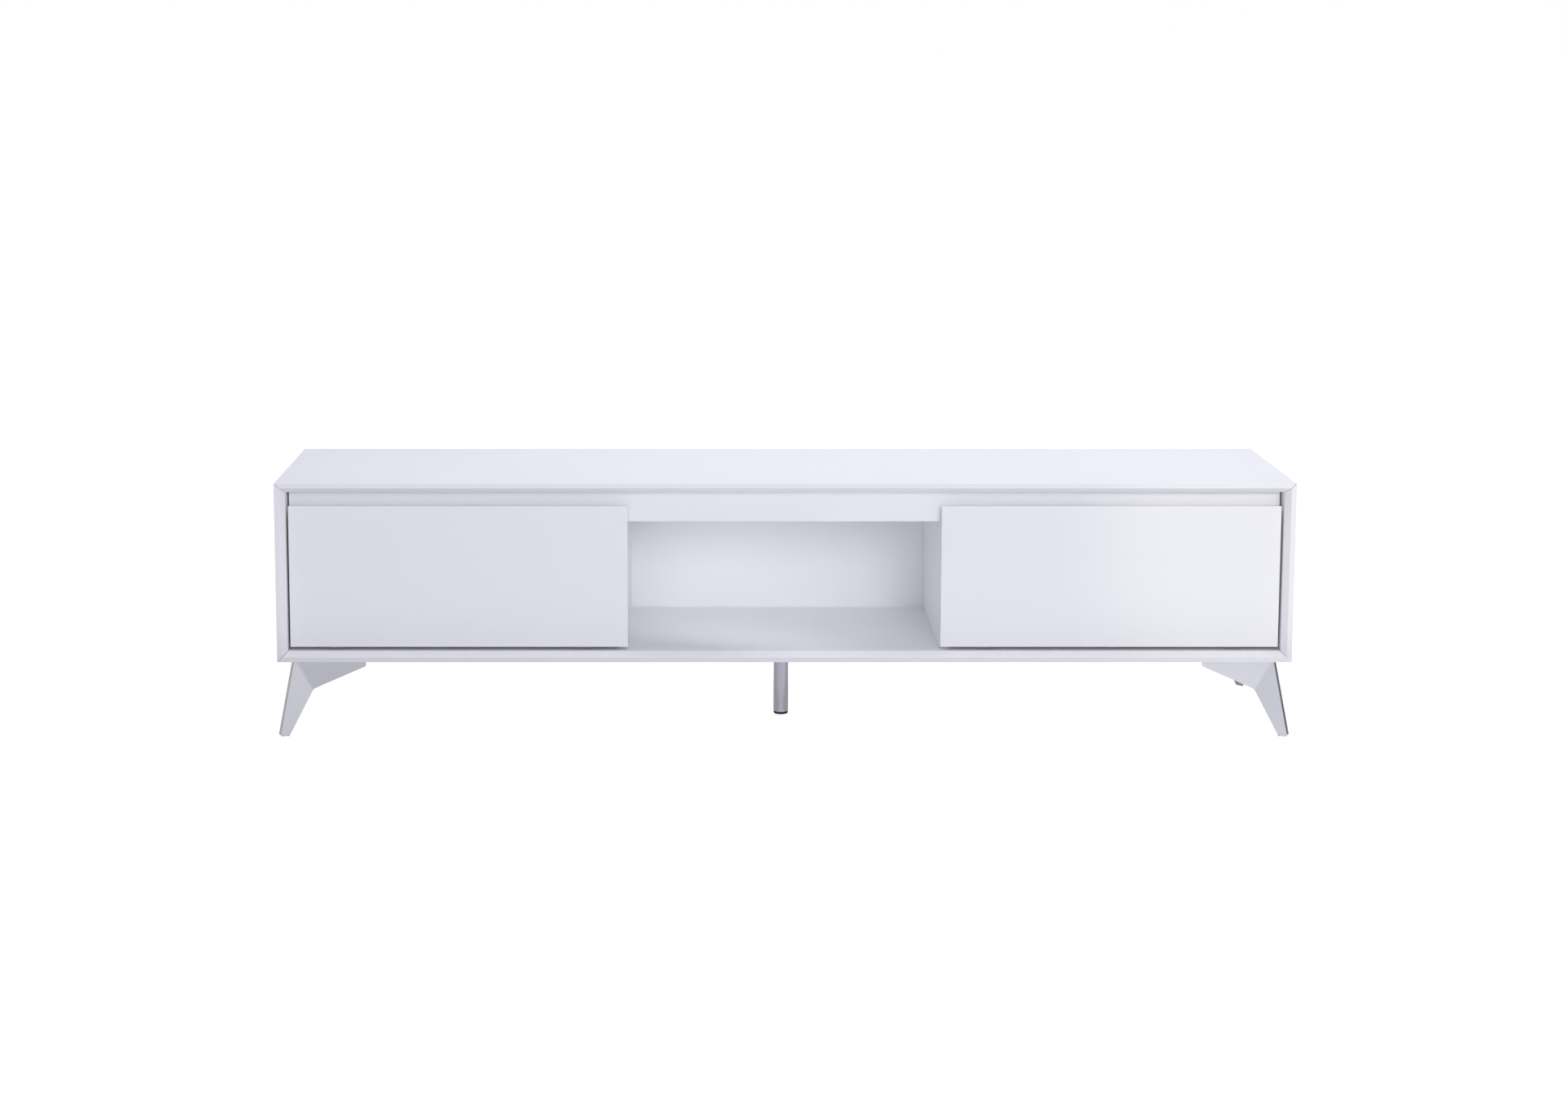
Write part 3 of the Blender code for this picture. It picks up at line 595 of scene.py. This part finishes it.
def make_body():
    back_low, back_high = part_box("back_panel")
    groove = (back_low - Vector((GAP, GAP, GAP)), back_high + Vector((GAP, GAP, GAP)))
    middle_z = (HEIGHT + LEG_HEIGHT) / 2
    quarter = math.pi / 2
    height = HEIGHT - LEG_HEIGHT
    frame_board("top_panel", WIDTH, (0, 0, HEIGHT), 0, groove)
    frame_board("bottom_panel", WIDTH, (0, 0, LEG_HEIGHT), math.pi, groove)
    frame_board("left_side_panel", height, (-WIDTH / 2, 0, middle_z), -quarter, groove)
    frame_board("right_side_panel", height, (WIDTH / 2, 0, middle_z), quarter, groove)
    back = block(back_low, back_high)
    show("back_panel_detail", back, BACK_BOARD, CABINET, ["back_panel"], BOARD_EDGE)
    make_rail()
    for side, _ in SIDES:
        make_divider(side)


make_body()


# ---------------------------------------------------------------- doors

def make_door(side):
    """The flap door: soft edges, the grip bevel behind its top, pockets for the hinges and the strike."""
    node = f"{side}_door_panel"
    low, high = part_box(node)
    shape = block(low, high)
    slice_off(shape, (0, low.y + GRIP_LAND, high.z), (0, 1, 1))
    cuts = []
    for spot in ("inner", "outer"):
        cup_low, cup_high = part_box(f"{side}_hinge_{spot}_cup")
        cuts.append(
            block(
                (cup_low.x - GAP, cup_low.y - GAP, low.z - BOARD),
                (cup_high.x + GAP, high.y + BOARD, cup_high.z + GAP),
            )
        )
    strike_low, strike_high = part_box(f"{side}_strike_plate")
    middle = (strike_low + strike_high) / 2
    radius = (strike_high.x - strike_low.x) / 2 + GAP
    cuts.append(
        bar((middle.x, strike_low.y - GAP, middle.z), (middle.x, high.y + BOARD, middle.z), radius)
    )
    show(f"{node}_detail", carved(shape, cuts), LACQUER, f"{side}_door", [node], SOFT_EDGE, 3)


# ---------------------------------------------------------------- screws

RECESS_REACH, RECESS_HALF = 0.55, 0.11    # shares of the head's radius
RECESS_DEPTH = 0.55           # share of the head's height


def screw_shape(head_radius, head_height, shank_radius, length):
    """A pan-head screw with a cross recess. Its head sits on z = 0 and its shank points down."""
    dome = [
        (head_radius * math.sin(turn), head_height * math.cos(turn)) for turn in quarter_turn(6)
    ]
    point = [(shank_radius, 0), (shank_radius, 2 * shank_radius - length), (0, -length)]
    shape = turned(dome + point, 32)
    reach, half = RECESS_REACH * head_radius, RECESS_HALF * head_radius
    deep = RECESS_DEPTH * head_height
    recess = [
        block((-reach, -half, head_height - deep), (reach, half, 2 * head_height)),
        block((-half, -reach, head_height - deep), (half, reach, 2 * head_height)),
    ]
    return carved(shape, recess)


def make_screw(name, sizes, place, direction, body, nodes=()):
    show(name, aimed(screw_shape(*sizes), place, direction), NICKEL, body, nodes)


# ---------------------------------------------------------------- hinges

HINGE_SHEET = 0.0009
HINGE_EYE_RADIUS = 0.0038
HINGE_ARM_WIDTH = 0.016
HINGE_ARM_HALF_HEIGHT = 0.0034
HINGE_UPRIGHT = 0.003         # thickness of the arm's upright and of its plate
HINGE_UPRIGHT_BACK = 0.0145   # from the axis to the upright's front
HINGE_BEND = 0.0028           # radius of the arm's outer bend
PLATE_CORNER = 0.006
HINGE_SCREW = (0.0036, 0.0016, 0.0015, 0.009)
ARM_SCREW_SHARES = (0.36, 0.78)    # places along the arm's plate
CUP_SCREW = (0.0026, 0.0011, 0.0012, 0.004)
CUP_SCREW_OUT, CUP_SCREW_DROP = 0.0064, 0.0036


def rounded_plate(low, high, radius, sides=6):
    """A flat plate, thin in z, with its four upright corners rounded in plan."""
    shape = block(low, high)
    upright = [edge for edge in shape.edges if abs(edge.verts[0].co.z - edge.verts[1].co.z) > GAP]
    bmesh.ops.bevel(shape, geom=upright, offset=radius, segments=sides, profile=0.5, affect="EDGES")
    return shape


def swept_across(points, low_x, high_x):
    """A flat outline of (y, z) points, given the thickness from low_x to high_x."""
    shape = bmesh.new()
    base = shape.faces.new([shape.verts.new((low_x, y, z)) for y, z in points])
    grown = bmesh.ops.extrude_face_region(shape, geom=[base], use_keep_orig=True)["geom"]
    moved = [item for item in grown if isinstance(item, bmesh.types.BMVert)]
    bmesh.ops.translate(shape, vec=(high_x - low_x, 0, 0), verts=moved)
    bmesh.ops.recalc_face_normals(shape, faces=shape.faces)
    return shape


def make_hinge(side, spot, axis_y, axis_z):
    label = f"{side}_hinge_{spot}"
    low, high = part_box(f"{label}_arm")
    x = (low.x + high.x) / 2
    half = HINGE_ARM_WIDTH / 2
    upright_y = axis_y + HINGE_UPRIGHT_BACK
    top_z, back_y = axis_z + HINGE_ARM_HALF_HEIGHT, upright_y + HINGE_UPRIGHT
    bend = []
    for turn in quarter_turn(6):
        bend.append(
            (
                back_y - HINGE_BEND * (1 - math.sin(turn)),
                top_z - HINGE_BEND * (1 - math.cos(turn)),
            )
        )
    strip = [
        (axis_y, axis_z - HINGE_ARM_HALF_HEIGHT),
        (axis_y, top_z),
        *bend,
        (back_y, low.z + HINGE_UPRIGHT / 2),
        (upright_y, low.z + HINGE_UPRIGHT / 2),
        (upright_y, axis_z - HINGE_ARM_HALF_HEIGHT),
    ]
    plate_top = low.z + HINGE_UPRIGHT
    plate = rounded_plate((low.x, upright_y, low.z), (high.x, high.y, plate_top), PLATE_CORNER)
    eye = bar((x - half, axis_y, axis_z), (x + half, axis_y, axis_z), HINGE_EYE_RADIUS)
    pin_low, pin_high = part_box(f"{label}_pin")
    pin_radius = (pin_high.z - pin_low.z) / 2
    reach = half + BOARD
    pin_room = bar((x - reach, axis_y, axis_z), (x + reach, axis_y, axis_z), pin_radius + GAP)
    arm = carved(joined(plate, swept_across(strip, x - half, x + half), eye), [pin_room])
    show(f"{label}_arm_detail", arm, NICKEL, CABINET, [f"{label}_arm"], METAL_EDGE)
    for number, share in enumerate(ARM_SCREW_SHARES, 1):
        place = (x, upright_y + share * (high.y - upright_y), plate_top)
        make_screw(f"{label}_arm_screw_{number}", HINGE_SCREW, place, (0, 0, 1), CABINET)

    pin_length = pin_high.x - pin_low.x
    chamfer = pin_radius / 4
    profile = [
        (0, pin_length),
        (pin_radius - chamfer, pin_length),
        (pin_radius, pin_length - chamfer),
        (pin_radius, chamfer),
        (pin_radius - chamfer, 0),
        (0, 0),
    ]
    pin = aimed(turned(profile, 32), (pin_low.x, axis_y, axis_z), (1, 0, 0))
    show(f"{label}_pin_detail", pin, NICKEL, f"{side}_door", [f"{label}_pin"])

    cup_low, cup_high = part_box(f"{label}_cup")
    hollow = block(
        cup_low + Vector((HINGE_SHEET, HINGE_SHEET, -BOARD)),
        cup_high + Vector((-HINGE_SHEET, BOARD, -HINGE_SHEET)),
    )
    pin_holes = bar((x - reach, axis_y, axis_z), (x + reach, axis_y, axis_z), pin_radius + GAP / 3)
    cup = carved(block(cup_low, cup_high), [hollow, pin_holes])
    show(f"{label}_cup_detail", cup, NICKEL, f"{side}_door", [f"{label}_cup"], HINGE_SHEET / 3)
    screw_z = cup_high.z - HINGE_SHEET - CUP_SCREW_DROP
    for number, offset in enumerate((-CUP_SCREW_OUT, CUP_SCREW_OUT), 1):
        place = (x + offset, cup_low.y + HINGE_SHEET, screw_z)
        make_screw(f"{label}_cup_screw_{number}", CUP_SCREW, place, (0, 1, 0), f"{side}_door")


# ---------------------------------------------------------------- flap stays

ROD_RADIUS = 0.003
ROD_LENGTH = 0.285
ROD_EYE_RADIUS = 0.0065
ROD_EYE_WIDTH = 0.007
STAY_PIN_RADIUS = 0.0025
STOP_RADIUS = 0.0045          # collar at the rod's free end
STOP_LENGTH = 0.004
BRAKE_SIZE = (0.014, 0.018, 0.024)
BRAKE_STUD_RADIUS = 0.003
WALL_PLATE_THICKNESS = 0.003
LUG_THICKNESS = 0.0025
DOOR_PLATE_THICKNESS = 0.002
BRACKET_SCREW = (0.0032, 0.0013, 0.0014, 0.010)
BRAKE_SCREW = (0.0032, 0.0012, 0.0012, 0.003)
BRAKE_GROOVE_PLACE = 0.0049   # from the brake's middle
BRAKE_GROOVE = 0.0006         # depth of the groove, and half its width
STAY_EDGE = 0.0005
WALL_SCREW_OUT = 0.68         # share of the round plate's radius
DOOR_SCREW_OUT = 0.3          # share of the door plate's height, from its middle


def make_rod(side, pin, along):
    """The stay's rod, from its flat round eye on the door to the collar at its free end."""
    half = Vector((ROD_EYE_WIDTH / 2, 0, 0))
    eye = bar(pin - half, pin + half, ROD_EYE_RADIUS, 48)
    end = pin + ROD_LENGTH * along
    collar = bar(end - STOP_LENGTH * along, end, STOP_RADIUS)
    hole = bar(pin - 2 * half, pin + 2 * half, STAY_PIN_RADIUS + GAP)
    rod = carved(joined(bar(pin, end, ROD_RADIUS), eye, collar), [hole])
    label = f"{side}_stay_rod"
    show(f"{label}_detail", rod, NICKEL, label, [label], STAY_EDGE)


def make_brake(side, sign, pivot, along):
    """The brake that the rod slides through, with a collar at each end of its bore and a set screw."""
    across, high, length = BRAKE_SIZE
    body = block((-across / 2, -length / 2, -high / 2), (across / 2, length / 2, high / 2))
    long_edges = [
        edge for edge in body.edges if abs(edge.verts[0].co.y - edge.verts[1].co.y) > GAP
    ]
    bmesh.ops.bevel(body, geom=long_edges, offset=high / 5, segments=5, profile=0.5, affect="EDGES")
    turn = Matrix.Rotation(math.atan2(along.z, along.y), 4, "X")
    bmesh.ops.transform(body, matrix=Matrix.Translation(pivot) @ turn, verts=body.verts)
    bore = bar(pivot - length * along, pivot + length * along, ROD_RADIUS + GAP)
    waist = []
    for end in (-1, 1):
        middle = pivot + end * BRAKE_GROOVE_PLACE * along
        half = BRAKE_GROOVE * along
        ring = bar(middle - half, middle + half, high)
        inside = bar(middle - 2 * half, middle + 2 * half, across / 2 - BRAKE_GROOVE)
        waist.append(carved(ring, [inside]))
    outward = Vector((sign, 0, 0))
    stud_start = pivot + (across / 2 - LUG_THICKNESS - GAP) * outward
    stud_room = bar(stud_start, pivot + across * outward, BRAKE_STUD_RADIUS + GAP)
    body = carved(body, [*waist, bore, stud_room])
    label = f"{side}_stay_brake"
    show(f"{label}_detail", body, BLACK, label, [label], STAY_EDGE)
    face = pivot - (across / 2 - GAP) * outward
    make_screw(f"{label}_screw", BRAKE_SCREW, face, -outward, label)


def make_wall_bracket(side, sign, pivot):
    """A round plate on the side panel, with the stud that the brake swivels on and three screws."""
    node = f"{side}_stay_wall_bracket"
    low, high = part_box(node)
    radius = (high.z - low.z) / 2
    outward = Vector((sign, 0, 0))
    wall = Vector((high.x if sign > 0 else low.x, pivot.y, pivot.z))
    stud_end = Vector((low.x if sign > 0 else high.x, pivot.y, pivot.z))
    face = wall - WALL_PLATE_THICKNESS * outward
    plate = bar(face, wall, radius, 64)
    stud = bar(stud_end, wall - GAP * outward, BRAKE_STUD_RADIUS)
    show(f"{node}_detail", joined(plate, stud), NICKEL, CABINET, [node], STAY_EDGE)
    for number in range(3):
        turn = number * math.tau / 3 + math.pi / 2
        place = face + radius * WALL_SCREW_OUT * Vector((0, math.cos(turn), math.sin(turn)))
        make_screw(f"{node}_screw_{number + 1}", BRACKET_SCREW, place, -outward, CABINET)


def make_door_bracket(side, sign, pin):
    """The plate on the door's back, with a lug beside the rod's eye, the pin through it and two screws."""
    node = f"{side}_stay_door_bracket"
    low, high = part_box(node)
    outward = Vector((sign, 0, 0))
    plate_back_y = low.y + DOOR_PLATE_THICKNESS
    lug_near = pin - (ROD_EYE_WIDTH / 2 + GAP) * outward
    lug_far = lug_near - LUG_THICKNESS * outward
    inner_x = low.x if sign > 0 else high.x
    plate_ends = sorted((inner_x, lug_near.x))
    flat = rounded_plate(
        (plate_ends[0], low.z, low.y), (plate_ends[1], high.z, plate_back_y), PLATE_CORNER / 2
    )
    swap = Matrix(((1, 0, 0, 0), (0, 0, 1, 0), (0, 1, 0, 0), (0, 0, 0, 1)))
    bmesh.ops.transform(flat, matrix=swap, verts=flat.verts)
    bmesh.ops.reverse_faces(flat, faces=flat.faces)
    web_ends = sorted((lug_near.x, lug_far.x))
    web_low = (web_ends[0], low.y, pin.z - ROD_EYE_RADIUS)
    web = block(web_low, (web_ends[1], pin.y, pin.z + ROD_EYE_RADIUS))
    lug = bar(lug_far, lug_near, ROD_EYE_RADIUS, 48)
    pin_end = pin + (ROD_EYE_WIDTH / 2 + GAP) * outward
    bracket = joined(flat, web, lug, bar(lug_far, pin_end, STAY_PIN_RADIUS))
    show(f"{node}_detail", bracket, NICKEL, f"{side}_door", [node], METAL_EDGE)
    middle_x = (inner_x + lug_far.x) / 2
    for number, offset in enumerate((-1, 1), 1):
        place = (middle_x, plate_back_y, pin.z + offset * (high.z - low.z) * DOOR_SCREW_OUT)
        make_screw(f"{node}_screw_{number}", BRACKET_SCREW, place, (0, 1, 0), f"{side}_door")


def make_stay(side, sign):
    pin = Vector(JOINTS[f"{side}_stay_rod_turn"]["pos_m"])
    pivot = Vector(JOINTS[f"{side}_stay_brake_turn"]["pos_m"])
    along = (pivot - pin).normalized()
    make_rod(side, pin, along)
    make_brake(side, sign, pivot, along)
    make_wall_bracket(side, sign, pivot)
    make_door_bracket(side, sign, pin)


# ---------------------------------------------------------------- catches, strikes and bumpers

CATCH_EDGE = 0.0004
CATCH_SHANK = 0.0042
MAGNET_RADIUS = 0.0036
STRIKE_DISH = 0.3             # share of the plate's thickness, and of its radius, that is dished
BUMPER_FLANK = 0.45           # share of the bumper's thickness below its dome


def lying(profile, place):
    """A turned shape whose axis points back into the cabinet. Heights run from the place towards +Y."""
    return aimed(turned(profile), place, (0, 1, 0))


def make_catch(side):
    """The catch in the rail: a flanged plastic shank with a magnet set into its face."""
    node = f"{side}_magnetic_catch"
    middle, radius, length = middle_of(node)
    place = middle - Vector((0, length / 2, 0))
    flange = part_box("front_rail")[0].y - GAP - place.y
    edge = CATCH_EDGE
    profile = [
        (0, length),
        (CATCH_SHANK - edge, length),
        (CATCH_SHANK, length - edge),
        (CATCH_SHANK, flange),
        (radius, flange),
        (radius, edge),
        (radius - edge, 0),
        (MAGNET_RADIUS, 0),
        (MAGNET_RADIUS, edge),
        (0, edge),
    ]
    show(f"{node}_detail", lying(profile, place), WHITE_PLASTIC, CABINET, [node])
    rim = MAGNET_RADIUS - edge / 2
    disc = [(0, 2 * edge), (rim, 2 * edge), (rim, edge / 2), (rim - edge / 2, edge / 4), (0, edge / 4)]
    show(f"{node}_magnet", lying(disc, place), NICKEL, CABINET)


def make_strike(side):
    """The round plate behind the door that the magnet holds, with a dished middle."""
    node = f"{side}_strike_plate"
    middle, radius, thickness = middle_of(node)
    dish = (1 - STRIKE_DISH) * thickness
    profile = [
        (0, dish),
        (STRIKE_DISH * radius, dish),
        (radius / 2, thickness),
        (radius - CATCH_EDGE, thickness),
        (radius, thickness - CATCH_EDGE),
        (radius, 0),
        (0, 0),
    ]
    place = middle - Vector((0, thickness / 2, 0))
    show(f"{node}_detail", lying(profile, place), NICKEL, f"{side}_door", [node])


def make_bumper(node):
    """A domed rubber pad, round side towards the door."""
    middle, radius, thickness = middle_of(node)
    flat = BUMPER_FLANK * thickness
    profile = []
    for turn in quarter_turn(8):
        profile.append((radius * math.sin(turn), flat + (thickness - flat) * math.cos(turn)))
    profile += [(radius, 0), (0, 0)]
    place = middle + Vector((0, thickness / 2, 0))
    shape = aimed(turned(profile), place, (0, -1, 0))
    show(f"{node}_detail", shape, RUBBER, CABINET, [node])


# ---------------------------------------------------------------- corner legs

SHEET = 0.003
LEG_TOP = LEG_HEIGHT - GAP
LEG_INSET = 0.023
RIDGE = 0.005
WING_LENGTH = 0.155
WING_END_HEIGHT = 0.012
KINK_IN, KINK_UP = 0.061, 0.0824
FOOT_END = (0.0215, 0.0055)
FOOT_LOW = (0.0165, 0.0012)
FOOT_TOE = (0.0090, 0.0012)
FOOT_UP = 0.0045
SOFT_FOLD, RIDGE_FOLD, PLATE_FOLD = 0.0040, 0.0005, 0.0034
SOFT_BELOW, RIDGE_BELOW = 22, 60   # degrees: gentler folds are soft, sharper ones are the plate's
LEG_SCREW_HEAD = (0.0055, 0.0026)
LEG_SCREW_SHANK = 0.0022
LEG_SCREW_HOLE = 0.0025
OUTLINE_CORNER = 0.0022
GLIDE_CLEARANCE = 0.0007
GLIDE_START, GLIDE_END = 0.002, 0.0155
GLIDE_EDGE = 0.0009


def leg_front():
    """Corners of the leg's front wing and of the blade below it, as (in from side, in from front, up)."""
    ridge_top = Vector((LEG_INSET + RIDGE, LEG_INSET, LEG_TOP))
    wing_top = Vector((WING_LENGTH, LEG_INSET, LEG_TOP))
    wing_low = Vector((WING_LENGTH, LEG_INSET, LEG_TOP - WING_END_HEIGHT))
    kink = Vector((KINK_IN, LEG_INSET, KINK_UP))
    ridge_low = Vector((RIDGE, 0, FOOT_UP))
    normal = (kink - ridge_top).cross(ridge_low - ridge_top)
    foot = []
    for across, up in (FOOT_END, FOOT_LOW, FOOT_TOE):
        back = (ridge_top.dot(normal) - across * normal.x - up * normal.z) / normal.y
        foot.append(Vector((across, back, up)))
    return [ridge_top, wing_top, wing_low, kink], [ridge_top, kink, *foot, ridge_low]


def swapped(point):
    return Vector((point.y, point.x, point.z))


def to_corner(shape, sign_x, sign_y):
    """Moves a shape given as (in from side, in from front, up) to a corner of the cabinet."""
    place = Matrix.Translation((sign_x * WIDTH / 2, sign_y * DEPTH / 2, 0))
    bmesh.ops.transform(shape, matrix=place @ Matrix.Diagonal((-sign_x, -sign_y, 1, 1)), verts=shape.verts)
    bmesh.ops.recalc_face_normals(shape, faces=shape.faces)


def with_modifiers(made):
    """The object's evaluated shape. The object itself is removed."""
    shape = bmesh.new()
    shape.from_object(made, bpy.context.evaluated_depsgraph_get())
    mesh = made.data
    bpy.data.objects.remove(made)
    bpy.data.meshes.remove(mesh)
    return shape


def fold_weight(edge):
    """How round a fold is: gentle between blade and wing, tight at the ridge, wide under the body."""
    if len(edge.link_faces) != 2:
        return 0.0
    angle = math.degrees(edge.calc_face_angle())
    if angle < SOFT_BELOW:
        return SOFT_FOLD
    return RIDGE_FOLD if angle < RIDGE_BELOW else PLATE_FOLD


def folded_sheet(sign_x, sign_y):
    """The leg's wings, blades, ridge and top plate as one sheet, folded round and given its thickness."""
    wing, blade = leg_front()
    ridge_top, wing_top, ridge_low = blade[0], wing[1], blade[-1]
    strip = [ridge_top, swapped(ridge_top), swapped(ridge_low), ridge_low]
    plate = [ridge_top, swapped(ridge_top), swapped(wing_top), wing_top]
    shape = bmesh.new()
    for outline in (wing, blade, map(swapped, wing), map(swapped, blade), strip, plate):
        shape.faces.new([shape.verts.new(point) for point in outline])
    bmesh.ops.remove_doubles(shape, verts=shape.verts, dist=GAP / 10)
    to_corner(shape, sign_x, sign_y)
    outward = Vector((sign_x, sign_y, 0))
    ridge = max(shape.faces, key=lambda face: face.calc_center_median().dot(outward))
    if ridge.normal.dot(outward) < 0:
        bmesh.ops.reverse_faces(shape, faces=shape.faces)
    lone = [vert for vert in shape.verts if len(vert.link_faces) == 1]
    bmesh.ops.bevel(
        shape, geom=lone, offset=OUTLINE_CORNER, segments=4, profile=0.5, affect="VERTICES"
    )
    layer = shape.edges.layers.float.new("bevel_weight_edge")
    for edge in shape.edges:
        edge[layer] = fold_weight(edge) / SOFT_FOLD
    sheet = as_object("sheet", shape)
    folds = sheet.modifiers.new("Folds", "BEVEL")
    folds.limit_method = "WEIGHT"
    folds.width = SOFT_FOLD
    folds.segments = 5
    thickness = sheet.modifiers.new("Sheet", "SOLIDIFY")
    thickness.thickness = SHEET
    thickness.offset = -1
    thickness.use_even_offset = True
    return with_modifiers(sheet)


def make_leg_screws(corner):
    """The leg's two screws. Gives back the holes that they need in the leg's plate."""
    holes = []
    for number in (1, 2):
        node = f"{corner}_leg_screw_{number}"
        low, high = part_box(node)
        middle = (low + high) / 2
        place = Vector((middle.x, middle.y, LEG_TOP - SHEET - GAP / 2))
        sizes = (*LEG_SCREW_HEAD, LEG_SCREW_SHANK, high.z - place.z)
        make_screw(f"{node}_detail", sizes, place, (0, 0, -1), CABINET, [node])
        holes.append(bar(place - Vector((0, 0, SHEET)), place + Vector((0, 0, 2 * SHEET)), LEG_SCREW_HOLE))
    return holes


def make_leg(corner, sign_x, sign_y):
    leg = carved(folded_sheet(sign_x, sign_y), make_leg_screws(corner))
    show(f"{corner}_leg_detail", leg, LEG_STEEL, CABINET, [f"{corner}_leg"], METAL_EDGE)


def make_glide(corner, sign_x, sign_y):
    """The plastic glide that fills the V of the leg's foot and leans with it."""
    blade = leg_front()[1]
    toe, foot_low = blade[-2], blade[-3]
    along = (foot_low - toe).normalized()
    near = Vector((RIDGE, 0, 0)) + Vector((-along.y, along.x, 0)) * (SHEET + GLIDE_CLEARANCE)
    front = [near + GLIDE_START * along, near + GLIDE_END * along]
    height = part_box(f"{corner}_glide")[1].z
    lean = LEG_INSET / (LEG_TOP - FOOT_UP) * height
    shape = bmesh.new()
    corners = [*front, *(swapped(point) for point in reversed(front))]
    base = shape.faces.new([shape.verts.new(point) for point in corners])
    grown = bmesh.ops.extrude_face_region(shape, geom=[base], use_keep_orig=True)["geom"]
    moved = [item for item in grown if isinstance(item, bmesh.types.BMVert)]
    bmesh.ops.translate(shape, vec=(lean, lean, height), verts=moved)
    to_corner(shape, sign_x, sign_y)
    show(f"{corner}_glide_detail", shape, GREY_PLASTIC, CABINET, [f"{corner}_glide"], GLIDE_EDGE, 3)


# ---------------------------------------------------------------- centre leg

FLANGE_SCREW = (0.0042, 0.0018, 0.0018, 0.013)
TUBE_WALL = 0.0015
TUBE_EDGE = 0.0007
FOOT_RIBS = 24
FOOT_RIB_DEPTH = 0.0005
FOOT_GAP = 0.0004             # between the foot and the tube
FINE = 96                     # sides of the large round pieces


def make_flange():
    """The round plate that holds the tube under the bottom board, with three screws."""
    low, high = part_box("centre_leg_flange")
    middle, radius, _ = middle_of("centre_leg_flange")
    tube_radius = middle_of("centre_leg_tube")[1]
    edge = (high.z - low.z) / 4
    profile = [
        (0, high.z),
        (radius, high.z),
        (radius, low.z + edge),
        (radius - edge, low.z),
        (0, low.z),
    ]
    shape = aimed(turned(profile, FINE), (middle.x, middle.y, 0))
    show("centre_leg_flange_detail", shape, NICKEL, CABINET, ["centre_leg_flange"])
    out = (radius + tube_radius) / 2
    for number in range(3):
        turn = number * math.tau / 3 + math.pi / 2
        place = (middle.x + out * math.cos(turn), middle.y + out * math.sin(turn), low.z)
        make_screw(f"centre_leg_flange_screw_{number + 1}", FLANGE_SCREW, place, (0, 0, -1), CABINET)


def make_tube():
    low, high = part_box("centre_leg_tube")
    middle, radius, _ = middle_of("centre_leg_tube")
    bore, cap = radius - TUBE_WALL, high.z - 2 * TUBE_WALL
    profile = [
        (0, high.z),
        (radius - TUBE_EDGE, high.z),
        (radius, high.z - TUBE_EDGE),
        (radius, low.z + TUBE_EDGE),
        (radius - TUBE_EDGE / 4, low.z + TUBE_EDGE / 4),
        (radius - TUBE_EDGE, low.z),
        (bore, low.z),
        (bore, cap),
        (0, cap),
    ]
    shape = aimed(turned(profile, FINE), (middle.x, middle.y, 0))
    show("centre_leg_tube_detail", shape, TUBE_STEEL, CABINET, ["centre_leg_tube"])


def make_foot():
    """The adjuster: a ribbed black foot under the tube and its stem inside it."""
    tube_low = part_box("centre_leg_tube")[0].z
    stem = middle_of("centre_leg_tube")[1] - TUBE_WALL - GAP
    middle, head, _ = middle_of("centre_leg_foot")
    stem_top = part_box("centre_leg_foot")[1].z
    head_top = tube_low - FOOT_GAP
    soft = head_top / 4
    profile = [
        (0, stem_top),
        (stem, stem_top),
        (stem, head_top),
        (head, head_top),
        (head, soft),
        (head - soft, 0),
        (0, 0),
    ]
    ribs = []
    out = head + FOOT_RIB_DEPTH
    for number in range(FOOT_RIBS):
        turn = number * math.tau / FOOT_RIBS
        start = Vector((out * math.cos(turn), out * math.sin(turn), soft))
        end = Vector((start.x, start.y, head_top + GAP))
        ribs.append(bar(start, end, 2 * FOOT_RIB_DEPTH, 8))
    shape = aimed(carved(turned(profile, FINE), ribs), (middle.x, middle.y, 0))
    show("centre_leg_foot_detail", shape, BLACK, "centre_foot", ["centre_leg_foot"])


for side_name, side_sign in SIDES:
    make_door(side_name)
    for hinge_spot in ("inner", "outer"):
        axis = JOINTS[f"{side_name}_door_flap"]["pos_m"]
        make_hinge(side_name, hinge_spot, axis[1], axis[2])
    make_stay(side_name, side_sign)
    make_catch(side_name)
    make_strike(side_name)
    for bumper_spot in ("inner", "outer"):
        make_bumper(f"{side_name}_bumper_{bumper_spot}")
    for depth_name, depth_sign in (("front", -1), ("rear", 1)):
        make_leg(f"{depth_name}_{side_name}", side_sign, depth_sign)
        make_glide(f"{depth_name}_{side_name}", side_sign, depth_sign)
make_flange()
make_tube()
make_foot()
